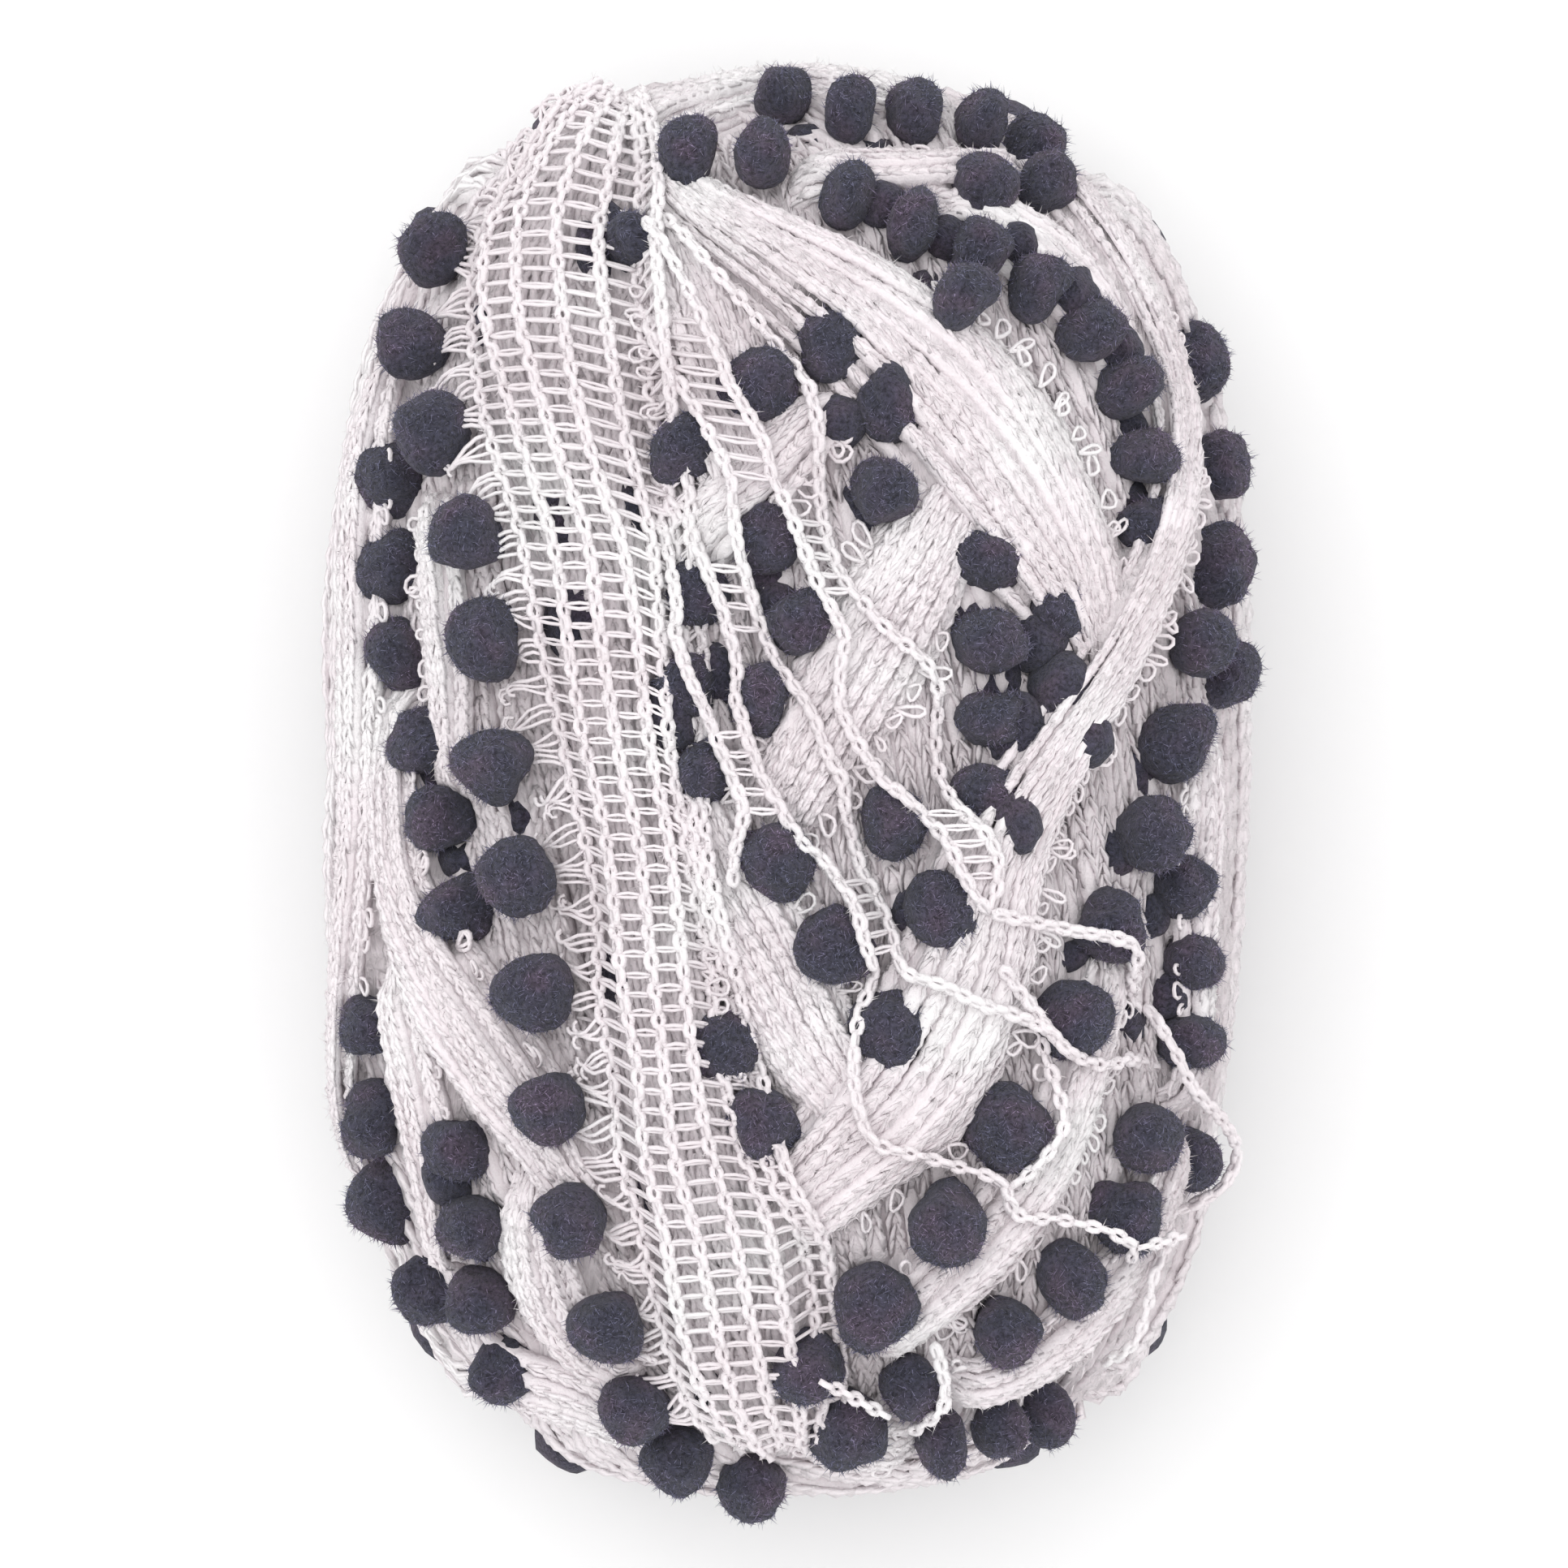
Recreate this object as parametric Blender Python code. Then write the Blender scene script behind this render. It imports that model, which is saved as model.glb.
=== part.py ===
"""Pom pom yarn: net ribbon wound into a ball, with a row of felted pompoms along the ribbon's edge.

The ball lies on its side. +Z is up, +Y runs along it, and the origin is the middle of the flat spot that
it rests on. Sizes in the tables and in the shape functions are millimetres, and MM turns them into metres.
"""

import math
from typing import NamedTuple

import bmesh
import bpy
import numpy as np

MM = 0.001
FRONT = 1
BACK = -1

# The wound core, before the outer lengths of ribbon are laid over it
CORE_HALF = np.array((53.0, 84.5, 44.0))
CENTRE_HEIGHT = 44.5
ROUND_ACROSS = 2.2
BLUNT_ENDS = 2.75
UNDERLAY_PITCH = 11.0
UNDERLAY_HEIGHT = 1.1
UNDERLAY_SLANT = math.radians(24)

# A length of ribbon bunched into a band: its round edges, and the furrows between its ropes
EDGE_ROUNDNESS = 2.4
ROPE_WIDTH = 5.8
FURROW_DEPTH = 1.9
FURROW_WANDER = 0.5
BAND_STEP = 1.5
LAY_LIFT = 2.0
SPAN_STEPS = 14
WINDING_SPANS = 6

# The pompoms of a row, and the thread that links them
NECK_RADIUS = 1.4
BEAD_SIDES = 7
BEAD_LATITUDES = (-76, -30, 30, 76)
BEAD_SHORTEST = 1.05
BEAD_LONGEST = 1.3
BEAD_UNEVEN = 0.07
BEAD_PITCH = 1.32
SEAT_GAP = 0.45

# The chains that have pulled loose from the net
CHAIN_RADIUS = 0.9
CHAIN_SIDES = 5
CHAIN_STEP = 4.0

# The fine ball before it is thinned out, and the share of its faces that is kept
BALL_SUBDIVISIONS = 7
KEPT_FACES = 0.106
SEATING_ROUNDS = 8
SEATING_SPOTS = 4
SEATED = 0.02

WHITE_YARN = (0.78, 0.745, 0.755, 1.0)
YARN_ROUGHNESS = 0.9
CHARCOAL_FELT = (0.075, 0.066, 0.094, 1.0)
FELT_ROUGHNESS = 0.95
DICE_SEED = 11


class Band(NamedTuple):
    """A length of ribbon. Each station holds x, y, width and crest height over the core."""

    name: str
    side: int
    stations: tuple


class Row(NamedTuple):
    """A run of pompoms. Each station holds x, y and the height of the row's axis over the core."""

    name: str
    side: int
    count: int
    size: float
    stations: tuple


class Chain(NamedTuple):
    """A loose chain. Each station holds x, y and the height over the core."""

    name: str
    side: int
    stations: tuple


class Winding(NamedTuple):
    """A length on the hidden side, by its angle from the top and its place along the ball at each end."""

    name: str
    start_angle: float
    end_angle: float
    start_y: float
    end_y: float
    width: float
    crest: float


# Seen from above, x to the right and y along the ball
BANDS = (
    Band("spread_net", FRONT, (
        (-22.7, 87.4, 9, 5.5), (-25.2, 81.9, 11, 6.5), (-29.2, 72.9, 18, 6), (-31.0, 62.9, 22, 5.5),
        (-30.4, 51.9, 20, 5.5), (-27.2, 36.9, 17, 5.5), (-22.7, 18.9, 18, 5.5), (-21.4, 4.9, 16, 6),
        (-18.2, -15.2, 13, 6.5), (-16.0, -33.2, 14, 6.5), (-11.2, -52.2, 17, 6), (-6.7, -67.2, 18, 5.5),
        (-3.2, -79.2, 16, 5.5), (-1.2, -86.2, 12, 4.5),
    )),
    Band("fan", FRONT, (
        (-17.2, 77.9, 6, 6.5), (-11.2, 72.9, 8, 6.5), (-1.2, 66.9, 11, 6.5), (10.8, 58.9, 15, 6.5),
        (21.8, 48.9, 19, 6.5), (30.8, 36.9, 19, 6), (37.3, 23.9, 14, 5.5), (39.8, 11.9, 7, 4.5),
    )),
    Band("right_rope", FRONT, (
        (29.3, 80.4, 5, 4.5), (37.8, 72.9, 7, 6), (45.8, 59.9, 7, 6.5), (49.6, 46.9, 6, 6.5),
        (49.0, 32.9, 6, 8), (42.8, 17.9, 7, 8.5), (34.8, 4.9, 9, 8.5), (27.3, -9.1, 12, 8),
        (23.8, -23.2, 16, 7.5), (16.8, -37.2, 17, 7), (6.8, -47.2, 14, 6.5), (-2.2, -55.2, 11, 6),
    )),
    Band("inner_right", FRONT, (
        (17.8, 73.4, 6, 4.5), (28.8, 69.4, 9, 5), (37.8, 61.9, 9, 5), (43.3, 51.9, 6, 4.5),
    )),
    Band("top_short", FRONT, (
        (0.3, 76.9, 6, 4.5), (10.8, 76.4, 8, 5), (20.8, 76.9, 7, 5), (29.8, 77.4, 5, 4.5),
    )),
    Band("top_edge", FRONT, (
        (-20.2, 82.9, 8, 6), (-11.2, 86.4, 9, 5), (0.8, 88.4, 9, 5), (12.8, 86.9, 8, 5),
        (21.8, 82.9, 6, 4.5),
    )),
    Band("left_edge", FRONT, (
        (-49.2, 54.9, 5, 5), (-53.2, 42.9, 8, 6.5), (-54.4, 26.9, 8, 6.5), (-54.7, 8.9, 8, 6.5),
        (-54.9, -8.1, 7, 6.5), (-56.2, -25.2, 5, 6.5), (-56.0, -41.2, 4, 6), (-53.2, -51.2, 4, 4.5),
    )),
    Band("inner_left", FRONT, (
        (-44.7, 37.9, 4, 4), (-43.7, 24.9, 6, 4.5), (-42.4, 10.9, 6, 4.5), (-42.2, -2.1, 5, 3.5),
    )),
    Band("left_fork", FRONT, (
        (-49.2, 12.9, 3, 4.5), (-50.4, 0.9, 7, 5.5), (-49.7, -12.1, 9, 6), (-45.2, -24.2, 12, 6),
        (-38.2, -35.2, 12, 6), (-31.2, -44.2, 9, 5.5), (-23.2, -55.2, 7, 4.5),
    )),
    Band("left_tail", FRONT, (
        (-50.2, -23.2, 7, 5.5), (-47.7, -36.2, 8, 5.5), (-45.2, -48.2, 7, 5.5), (-42.7, -62.2, 3, 5),
    )),
    Band("lower_left", FRONT, (
        (-32.7, -50.2, 6, 4.5), (-31.7, -60.2, 10, 5), (-27.2, -69.2, 9, 5), (-18.2, -75.2, 6, 4.5),
    )),
    Band("bottom_left_edge", FRONT, (
        (-40.7, -68.2, 5, 4), (-35.2, -74.2, 9, 5), (-26.2, -77.7, 9, 5), (-15.2, -82.2, 7, 4.5),
    )),
    Band("centre", FRONT, (
        (-2.2, -5.2, 9, 4), (3.8, 5.9, 13, 4.5), (10.8, 17.9, 15, 4.5), (16.8, 28.9, 13, 4.5),
        (21.8, 38.9, 10, 4.5),
    )),
    Band("crossing", FRONT, (
        (-12.2, 30.9, 8, 4.5), (-5.2, 36.9, 8, 5), (1.3, 43.9, 7, 5), (7.3, 49.9, 5, 4.5),
    )),
    Band("fan_left", FRONT, (
        (-17.2, 71.9, 5, 6.5), (-13.2, 61.9, 11, 6), (-9.7, 51.9, 14, 5.5), (-6.7, 40.9, 10, 5),
        (-5.2, 34.9, 6, 4.5),
    )),
    Band("lower_centre", FRONT, (
        (-12.2, -1.2, 6, 4.5), (-8.2, -12.2, 12, 5), (-2.2, -23.2, 13, 5), (3.8, -34.2, 12, 5),
        (10.8, -43.2, 8, 4.5),
    )),
    Band("right_lower", FRONT, (
        (41.3, -21.2, 5, 4.5), (37.3, -34.2, 8, 5), (33.3, -46.2, 8, 5), (25.3, -57.2, 10, 5),
        (16.8, -65.2, 8, 5), (8.8, -71.2, 6, 4.5),
    )),
    Band("bottom_right_edge", FRONT, (
        (49.8, -43.2, 5, 4.5), (45.3, -56.2, 7, 4.5), (38.3, -66.2, 9, 5), (29.3, -73.2, 8, 5),
        (18.8, -76.2, 6, 4.5),
    )),
    Band("right_edge", FRONT, (
        (51.8, 8.9, 5, 4.5), (52.6, -3.1, 8, 5), (51.8, -18.2, 7, 5), (51.0, -33.2, 6, 4.5),
        (48.3, -43.2, 5, 4.5),
    )),
    Band("bottom_short", FRONT, ((-0.2, -77.2, 7, 4.5), (7.8, -82.2, 9, 5), (16.8, -83.2, 7, 4.5))),
)

# Angles run from straight up towards +X, so 90 is the right side, 180 underneath and 270 the left side
BACK_BANDS = (
    Winding("back_a", 92, 128, 78, -78, 11, 4.8),
    Winding("back_b", 116, 160, 80, -80, 13, 5.0),
    Winding("back_c", 158, 202, 80, -80, 17, 3.6),
    Winding("back_d", 196, 238, 80, -80, 13, 4.4),
    Winding("back_e", 226, 266, 78, -78, 12, 4.8),
    Winding("back_f", 138, 98, 79, -79, 9, 6.2),
    Winding("back_g", 200, 142, 80, -80, 12, 4.6),
    Winding("back_h", 262, 214, 80, -80, 11, 6.2),
    Winding("back_i", 82, 114, 76, -66, 8, 4.0),
    Winding("back_j", 276, 248, 72, -76, 9, 5.0),
    Winding("back_top", 104, 256, 72, 80, 11, 6.0),
    Winding("back_bottom", 256, 104, -72, -80, 11, 6.0),
)
BACK_ROWS = (
    Winding("pompoms_side_right", 108, 116, 48, -52, 9.6, 2.2),
    Winding("pompoms_low_right", 131, 134, 44, -48, 10.2, 3.8),
    Winding("pompoms_side_left", 250, 246, 52, -48, 9.6, 2.6),
    Winding("pompoms_low_left", 227, 231, 46, -46, 10.2, 3.8),
    Winding("pompoms_top_turn", 112, 248, 67, 67, 10.2, 4.2),
    Winding("pompoms_top_pole", 128, 232, 80, 80, 9.8, 4.6),
    Winding("pompoms_bottom_turn", 112, 248, -67, -67, 10.2, 4.2),
    Winding("pompoms_bottom_pole", 128, 232, -80, -80, 9.8, 4.6),
)

ROWS = (
    Row("pompoms_net_edge", FRONT, 11, 10.5, (
        (-43.4, 66.4, 5.4), (-46.4, 55.6, 5.8), (-43.6, 44.0, 6.4), (-39.0, 31.0, 6.8), (-37.2, 16.5, 6.8),
        (-36.0, 3.0, 6.8), (-33.2, -9.6, 6.8), (-31.4, -24.0, 6.8), (-29.6, -38.2, 6.8),
        (-26.6, -52.0, 6.8), (-22.2, -66.0, 6.4),
    )),
    Row("pompoms_net_bottom", FRONT, 3, 8.8, (
        (-19.0, -76.2, 5.4), (-13.8, -83.0, 5.0), (-4.4, -86.0, 4.4),
    )),
    Row("pompoms_left_deep", FRONT, 6, 8.8, (
        (-48.4, 37.4, 2.4), (-48.6, 26.9, 2.4), (-48.2, 17.9, 2.4), (-45.8, 8.4, 2.4), (-42.4, -4.2, 2.6),
        (-40.6, -15.2, 2.6),
    )),
    Row("pompoms_left_lower", FRONT, 4, 8.6, (
        (-51.6, -29.6, 3.4), (-51.0, -41.2, 3.2), (-50.0, -51.6, 3.2), (-44.8, -62.4, 3.0),
    )),
    Row("pompoms_left_fork", FRONT, 4, 9.4, (
        (-40.5, -44.5, 3.0), (-38.7, -53.0, 3.8), (-38.0, -64.6, 4.4), (-35.0, -71.4, 3.6),
    )),
    Row("pompoms_top_left", FRONT, 2, 9.2, ((-12.4, 77.7, 6.4), (-3.2, 77.2, 6.2))),
    Row("pompoms_top", FRONT, 5, 8.8, (
        (-0.7, 84.9, 4.6), (8.8, 82.7, 4.4), (15.8, 82.9, 4.4), (22.8, 81.6, 4.4), (30.2, 78.8, 3.2),
    )),
    Row("pompoms_top_right", FRONT, 2, 8.6, ((23.8, 73.6, 4.2), (31.4, 74.2, 4.0))),
    Row("pompoms_fan_edge", FRONT, 8, 9.4, (
        (7.3, 71.9, 4.2), (16.8, 67.9, 4.4), (25.0, 64.7, 4.6), (34.0, 59.0, 4.8), (39.8, 51.9, 4.2),
        (43.3, 42.9, 3.4), (44.8, 31.9, 3.2),
    )),
    Row("pompoms_fan_top", FRONT, 1, 9.0, ((17.4, 62.6, 8.2), (25.2, 57.0, 8.2))),
    Row("pompoms_right_edge", FRONT, 4, 8.4, (
        (50.6, 52.2, 3.0), (53.2, 38.4, 3.0), (52.8, 25.0, 3.0), (54.0, 13.6, 3.4),
    )),
    Row("pompoms_right_upper", FRONT, 5, 9.2, (
        (49.8, 17.4, 3.8), (48.2, 6.5, 4.2), (44.3, -6.1, 4.2), (38.6, -18.4, 3.8), (34.8, -28.6, 3.6),
    )),
    Row("pompoms_net_top", FRONT, 1, 7.2, ((-20.0, 71.0, 4.0), (-17.5, 62.0, 4.0))),
    Row("pompoms_centre_top", FRONT, 5, 8.8, (
        (-12.7, 41.4, 3.0), (-3.8, 48.8, 3.6), (4.8, 54.0, 2.6), (12.3, 46.0, 2.6), (11.4, 35.6, 4.2),
    )),
    Row("pompoms_centre", FRONT, 3, 8.8, ((-2.9, 29.9, 2.2), (1.6, 19.9, 3.2), (-3.2, 10.4, 2.6))),
    Row("pompoms_net_right", FRONT, 3, 8.2, ((-11.6, 22.9, 2.2), (-12.6, 12.9, 2.2), (-10.4, 1.9, 2.6))),
    Row("pompoms_lower_centre", FRONT, 3, 9.2, ((-2.2, -9.2, 4.0), (5.3, -18.7, 4.0), (12.3, -29.7, 3.8))),
    Row("pompoms_v_gap", FRONT, 2, 9.4, ((-7.7, -31.2, 2.6), (-2.9, -40.7, 4.0))),
    Row("pompoms_right_centre", FRONT, 4, 9.0, (
        (24.3, 27.4, 2.2), (23.8, 16.9, 3.4), (24.6, 7.9, 2.4), (24.3, -1.2, 3.2),
    )),
    Row("pompoms_right_gap", FRONT, 2, 8.2, ((32.8, 21.4, 1.8), (34.4, 12.0, 1.6))),
    Row("pompoms_centre_low", FRONT, 2, 9.2, ((12.8, -4.7, 2.8), (18.6, -14.9, 4.0))),
    Row("pompoms_right_low_edge", FRONT, 3, 8.6, (
        (48.6, -12.2, 3.0), (49.4, -22.2, 3.0), (48.8, -31.2, 3.0),
    )),
    Row("pompoms_corner", FRONT, 4, 9.6, (
        (44.3, -42.7, 4.4), (42.3, -50.7, 4.0), (37.3, -58.6, 4.4), (26.8, -67.0, 4.4),
    )),
    Row("pompoms_rope_low", FRONT, 3, 10.0, ((26.8, -41.7, 4.0), (18.8, -53.2, 5.0), (10.6, -62.7, 5.0))),
    Row("pompoms_corner_edge", FRONT, 1, 7.2, ((51.2, -41.0, 3.0), (48.6, -50.5, 3.0))),
    Row("pompoms_bottom_left", FRONT, 2, 9.0, ((2.8, -70.8, 4.4), (7.2, -79.0, 4.4))),
    Row("pompoms_bottom_middle", FRONT, 1, 8.2, ((10.5, -74.6, 3.4), (19.0, -71.6, 3.4))),
    Row("pompoms_bottom", FRONT, 3, 8.6, ((18.8, -80.2, 4.0), (26.2, -79.2, 4.0), (31.6, -76.8, 2.8))),
)

CHAINS = (
    Chain("slack_loop_upper", FRONT, (
        (43.8, -27.0, 2.0), (46.8, -31.6, 6.4), (49.8, -37.4, 6.8), (53.2, -41.0, 6.8), (55.2, -45.4, 6.8),
        (53.0, -49.6, 6.4), (47.4, -52.6, 1.6),
    )),
    Chain("slack_loop_lower", FRONT, (
        (47.0, -53.4, 2.4), (45.0, -59.2, 6.4), (44.0, -64.0, 6.4), (42.4, -68.4, 6), (38.6, -71.0, 2.6),
    )),
)


def shell_points(directions, lift):
    """Where each direction meets the shell that is the core grown by lift."""
    half = CORE_HALF + np.asarray(lift, float)[..., None]
    x, y, z = np.moveaxis(np.abs(directions) / half, -1, 0)
    across = (x**ROUND_ACROSS + z**ROUND_ACROSS) ** (BLUNT_ENDS / ROUND_ACROSS)
    return directions * ((across + y**BLUNT_ENDS) ** (-1 / BLUNT_ENDS))[..., None]


def unit(vectors):
    return vectors / np.linalg.norm(vectors, axis=-1, keepdims=True)


def seen_point(x, y, lift, side):
    """The point of a shell that lies at x, y when seen from above, or from below on the back."""
    half_x, half_y, half_z = CORE_HALF + lift
    across = max(1 - abs(y / half_y) ** BLUNT_ENDS, 0) ** (ROUND_ACROSS / BLUNT_ENDS)
    depth = max(across - abs(x / half_x) ** ROUND_ACROSS, 0) ** (1 / ROUND_ACROSS)
    return shell_points(unit(np.array((x, y, side * half_z * depth))), lift)


def angle_point(angle, y, lift):
    """The point of a shell at an angle round the long axis, from straight up towards +X."""
    half_x, half_y, half_z = CORE_HALF + lift
    across = max(1 - abs(y / half_y) ** BLUNT_ENDS, 0) ** (1 / BLUNT_ENDS)
    sine, cosine = math.sin(math.radians(angle)), math.cos(math.radians(angle))
    turned = abs(sine / half_x) ** ROUND_ACROSS + abs(cosine / half_z) ** ROUND_ACROSS
    reach = across * turned ** (-1 / ROUND_ACROSS)
    return shell_points(unit(np.array((reach * sine, y, reach * cosine))), lift)


def winding_stations(winding):
    """Points of a length on the hidden side, whose angle changes evenly while y slows towards both ends."""
    turns = np.linspace(-math.pi / 2, math.pi / 2, WINDING_SPANS + 1)
    places = winding.start_y + (np.sin(turns) + 1) / 2 * (winding.end_y - winding.start_y)
    angles = np.linspace(winding.start_angle, winding.end_angle, WINDING_SPANS + 1)
    return np.array([angle_point(angle, y, winding.crest) for angle, y in zip(angles, places)])


def smooth_rows(rows):
    """A Catmull-Rom curve through the rows, all columns alike."""
    ends = np.vstack((2 * rows[0] - rows[1], rows, 2 * rows[-1] - rows[-2]))
    t = np.linspace(0, 1, SPAN_STEPS, endpoint=False)[:, None]
    spans = [
        0.5 * (2 * b + (c - a) * t + (2 * a - 5 * b + 4 * c - d) * t**2 + (3 * b - a - 3 * c + d) * t**3)
        for a, b, c, d in zip(ends, ends[1:], ends[2:], ends[3:])
    ]
    return np.vstack((*spans, rows[-1:]))


def run_lengths(points):
    return np.concatenate(((0,), np.cumsum(np.linalg.norm(np.diff(points, axis=0), axis=1))))


def read_at(places, runs, rows):
    """The rows read at the given run lengths."""
    return np.column_stack([np.interp(places, runs, column) for column in rows.T])


def route_of(points, columns, lift_column):
    """A smooth route over the ball: its points on their own shells, beside their columns."""
    rows = smooth_rows(np.column_stack((points, columns)))
    laid = shell_points(unit(rows[:, :3]), rows[:, 3 + lift_column])
    return laid, rows[:, 3:]


def band_routes():
    """Each band as points on one shell, a step apart, with width, crest and run length."""
    routes = []
    for band in BANDS:
        stations = np.array(band.stations, float)
        points = np.array([seen_point(x, y, crest, band.side) for x, y, _, crest in stations])
        routes.append(route_of(points, stations[:, 2:], 1))
    for winding in BACK_BANDS:
        points = winding_stations(winding)
        columns = np.tile((winding.width, winding.crest), (len(points), 1))
        routes.append(route_of(points, columns, 1))
    stepped = []
    for points, columns in routes:
        points = shell_points(unit(points), np.full(len(points), LAY_LIFT))
        runs = run_lengths(points)
        places = np.arange(0, runs[-1], BAND_STEP)
        stepped.append((read_at(places, runs, points), read_at(places, runs, columns), places))
    return stepped


def underlay(points):
    """Slanting turns of the inner winding, which show in the valleys between the bands."""
    around = np.arctan2(points[:, 0], points[:, 2]) * CORE_HALF[[0, 2]].mean()
    across = around * math.cos(UNDERLAY_SLANT) + points[:, 1] * math.sin(UNDERLAY_SLANT)
    turns = round(2 * math.pi * CORE_HALF[[0, 2]].mean() * math.cos(UNDERLAY_SLANT) / UNDERLAY_PITCH)
    pitch = 2 * math.pi * CORE_HALF[[0, 2]].mean() * math.cos(UNDERLAY_SLANT) / turns
    return UNDERLAY_HEIGHT * np.abs(np.sin(math.pi * across / pitch))


def ribbon_lift(directions):
    """How far the wound ribbon stands over the core: the highest band at each direction."""
    points = shell_points(directions, np.full(len(directions), LAY_LIFT))
    lift = underlay(points)
    for route, columns, runs in band_routes():
        distance = (points**2).sum(1)[:, None] + (route**2).sum(1) - 2 * points @ route.T
        nearest = distance.argmin(1)
        width, crest = columns[nearest].T
        aside = np.sqrt(np.maximum(distance[np.arange(len(points)), nearest], 0)) / (width / 2)
        along = unit(np.gradient(route, axis=0))
        lateral = np.cross(along, unit(route))[nearest]
        signed = aside * np.sign(((points - route[nearest]) * lateral).sum(1))
        ropes = np.maximum(1, np.round(columns[:, 0].mean() / ROPE_WIDTH))
        wander = FURROW_WANDER * np.sin(runs[nearest] / ROPE_WIDTH / 2)
        ridges = 0.5 + 0.5 * np.cos(math.pi * (ropes * (signed + 1) + wander))
        furrow = FURROW_DEPTH * ridges * (ropes > 1)
        rounded = np.maximum(1 - np.minimum(aside, 1) ** EDGE_ROUNDNESS, 0) ** (1 / EDGE_ROUNDNESS)
        lift = np.maximum(lift, (crest - furrow) * rounded)
    return lift


def row_route(row):
    """The axis of a pompom row, with its run lengths."""
    if isinstance(row, Winding):
        points = winding_stations(row)
        lifts = np.full((len(points), 1), row.crest)
    else:
        points = np.array([seen_point(x, y, lift, row.side) for x, y, lift in row.stations])
        lifts = np.array(row.stations, float)[:, 2:]
    laid, _ = route_of(points, lifts, 0)
    return laid, run_lengths(laid)


class Bead(NamedTuple):
    """A pompom: its middle along the row's axis, its radius and half its length."""

    place: float
    radius: float
    half_length: float


def beads_of(row, length, dice):
    """The pompoms of a row, evenly spaced, each a little unlike the next."""
    hidden = isinstance(row, Winding)
    size = row.width if hidden else row.size
    count = round(length / (size * BEAD_PITCH)) if hidden else row.count
    places = np.linspace(0, length, count) if count > 1 else np.array((length / 2,))
    spacing = length / (count - 1) if count > 1 else length
    beads = []
    for place in places:
        radius = size / 2 * dice.uniform(1 - BEAD_UNEVEN, 1 + BEAD_UNEVEN)
        half_length = min(radius * dice.uniform(BEAD_SHORTEST, BEAD_LONGEST), spacing / 2 - NECK_RADIUS / 2)
        beads.append(Bead(place, radius, half_length))
    return beads


def axis_point(laid, runs, place):
    """A point of the axis, read past its ends too."""
    inside = np.clip(place, 0, runs[-1])
    point = read_at([inside], runs, laid)[0]
    toward = unit(laid[-1] - laid[-2]) if place > inside else unit(laid[1] - laid[0])
    return point + toward * (place - inside)


def bead_chain(row, dice):
    """The rings of a row's solid, as (middle, radius), and the balls that the wound ball makes room for."""
    laid, runs = row_route(row)
    rings = []
    balls = []
    last = None
    for bead in beads_of(row, runs[-1], dice):
        for latitude in BEAD_LATITUDES:
            rise = math.sin(math.radians(latitude))
            radius = max(bead.radius * math.cos(math.radians(latitude)), NECK_RADIUS)
            rings.append((axis_point(laid, runs, bead.place + bead.half_length * rise), radius))
        spare = max(bead.half_length - bead.radius, 0)
        for offset in (-spare, 0, spare):
            balls.append((axis_point(laid, runs, bead.place + offset), bead.radius))
        if last is not None:
            neck = np.arange(last.place + last.half_length, bead.place - bead.half_length, NECK_RADIUS / 2)
            balls += [(axis_point(laid, runs, place), NECK_RADIUS) for place in neck]
        last = bead
    return rings, balls


def chain_rings(chain):
    """The rings of a loose chain's solid, and the balls that the wound ball makes room for."""
    points = np.array([seen_point(x, y, lift, chain.side) for x, y, lift in chain.stations])
    laid, _ = route_of(points, np.array(chain.stations, float)[:, 2:], 0)
    runs = run_lengths(laid)
    coarse = np.linspace(0, runs[-1], round(runs[-1] / CHAIN_STEP) + 1)
    fine = np.arange(0, runs[-1], CHAIN_RADIUS)
    rings = [(point, CHAIN_RADIUS) for point in read_at(coarse, runs, laid)]
    balls = [(point, CHAIN_RADIUS) for point in read_at(fine, runs, laid)]
    return rings, balls


def tube_mesh(name, rings, sides, dice=None):
    """A closed tube through the rings, each square to the axis, its sides uneven where dice are given."""
    middles = np.array([middle for middle, _ in rings])
    along = unit(np.gradient(middles, axis=0))
    lateral = unit(np.cross(along, unit(middles)))
    outward = np.cross(lateral, along)
    bm = bmesh.new()
    loops = []
    for index, (middle, radius) in enumerate(rings):
        loop = []
        for side in range(sides):
            turn = 2 * math.pi * (side + 0.5 * (index % 2)) / sides
            reach = radius * (dice.uniform(1 - BEAD_UNEVEN, 1) if dice and radius > NECK_RADIUS else 1)
            corner = middle + reach * (math.cos(turn) * lateral[index] + math.sin(turn) * outward[index])
            loop.append(bm.verts.new(corner * MM))
        loops.append(loop)
    for first, second in zip(loops, loops[1:]):
        bridge(bm, first, second)
    bm.faces.new(loops[0])
    bm.faces.new(loops[-1][::-1])
    bmesh.ops.recalc_face_normals(bm, faces=bm.faces)
    mesh = bpy.data.meshes.new(name)
    bm.to_mesh(mesh)
    bm.free()
    return mesh


def bridge(bm, first, second):
    """Quads between two rings with the same number of corners, the closest corner first."""
    count = len(first)

    def spread(shift):
        return sum((first[i].co - second[(i + shift) % count].co).length for i in range(count))

    shift = min(range(count), key=spread)
    second = second[shift:] + second[:shift]
    for i in range(count):
        after = (i + 1) % count
        bm.faces.new((first[i], first[after], second[after], second[i]))


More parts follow.
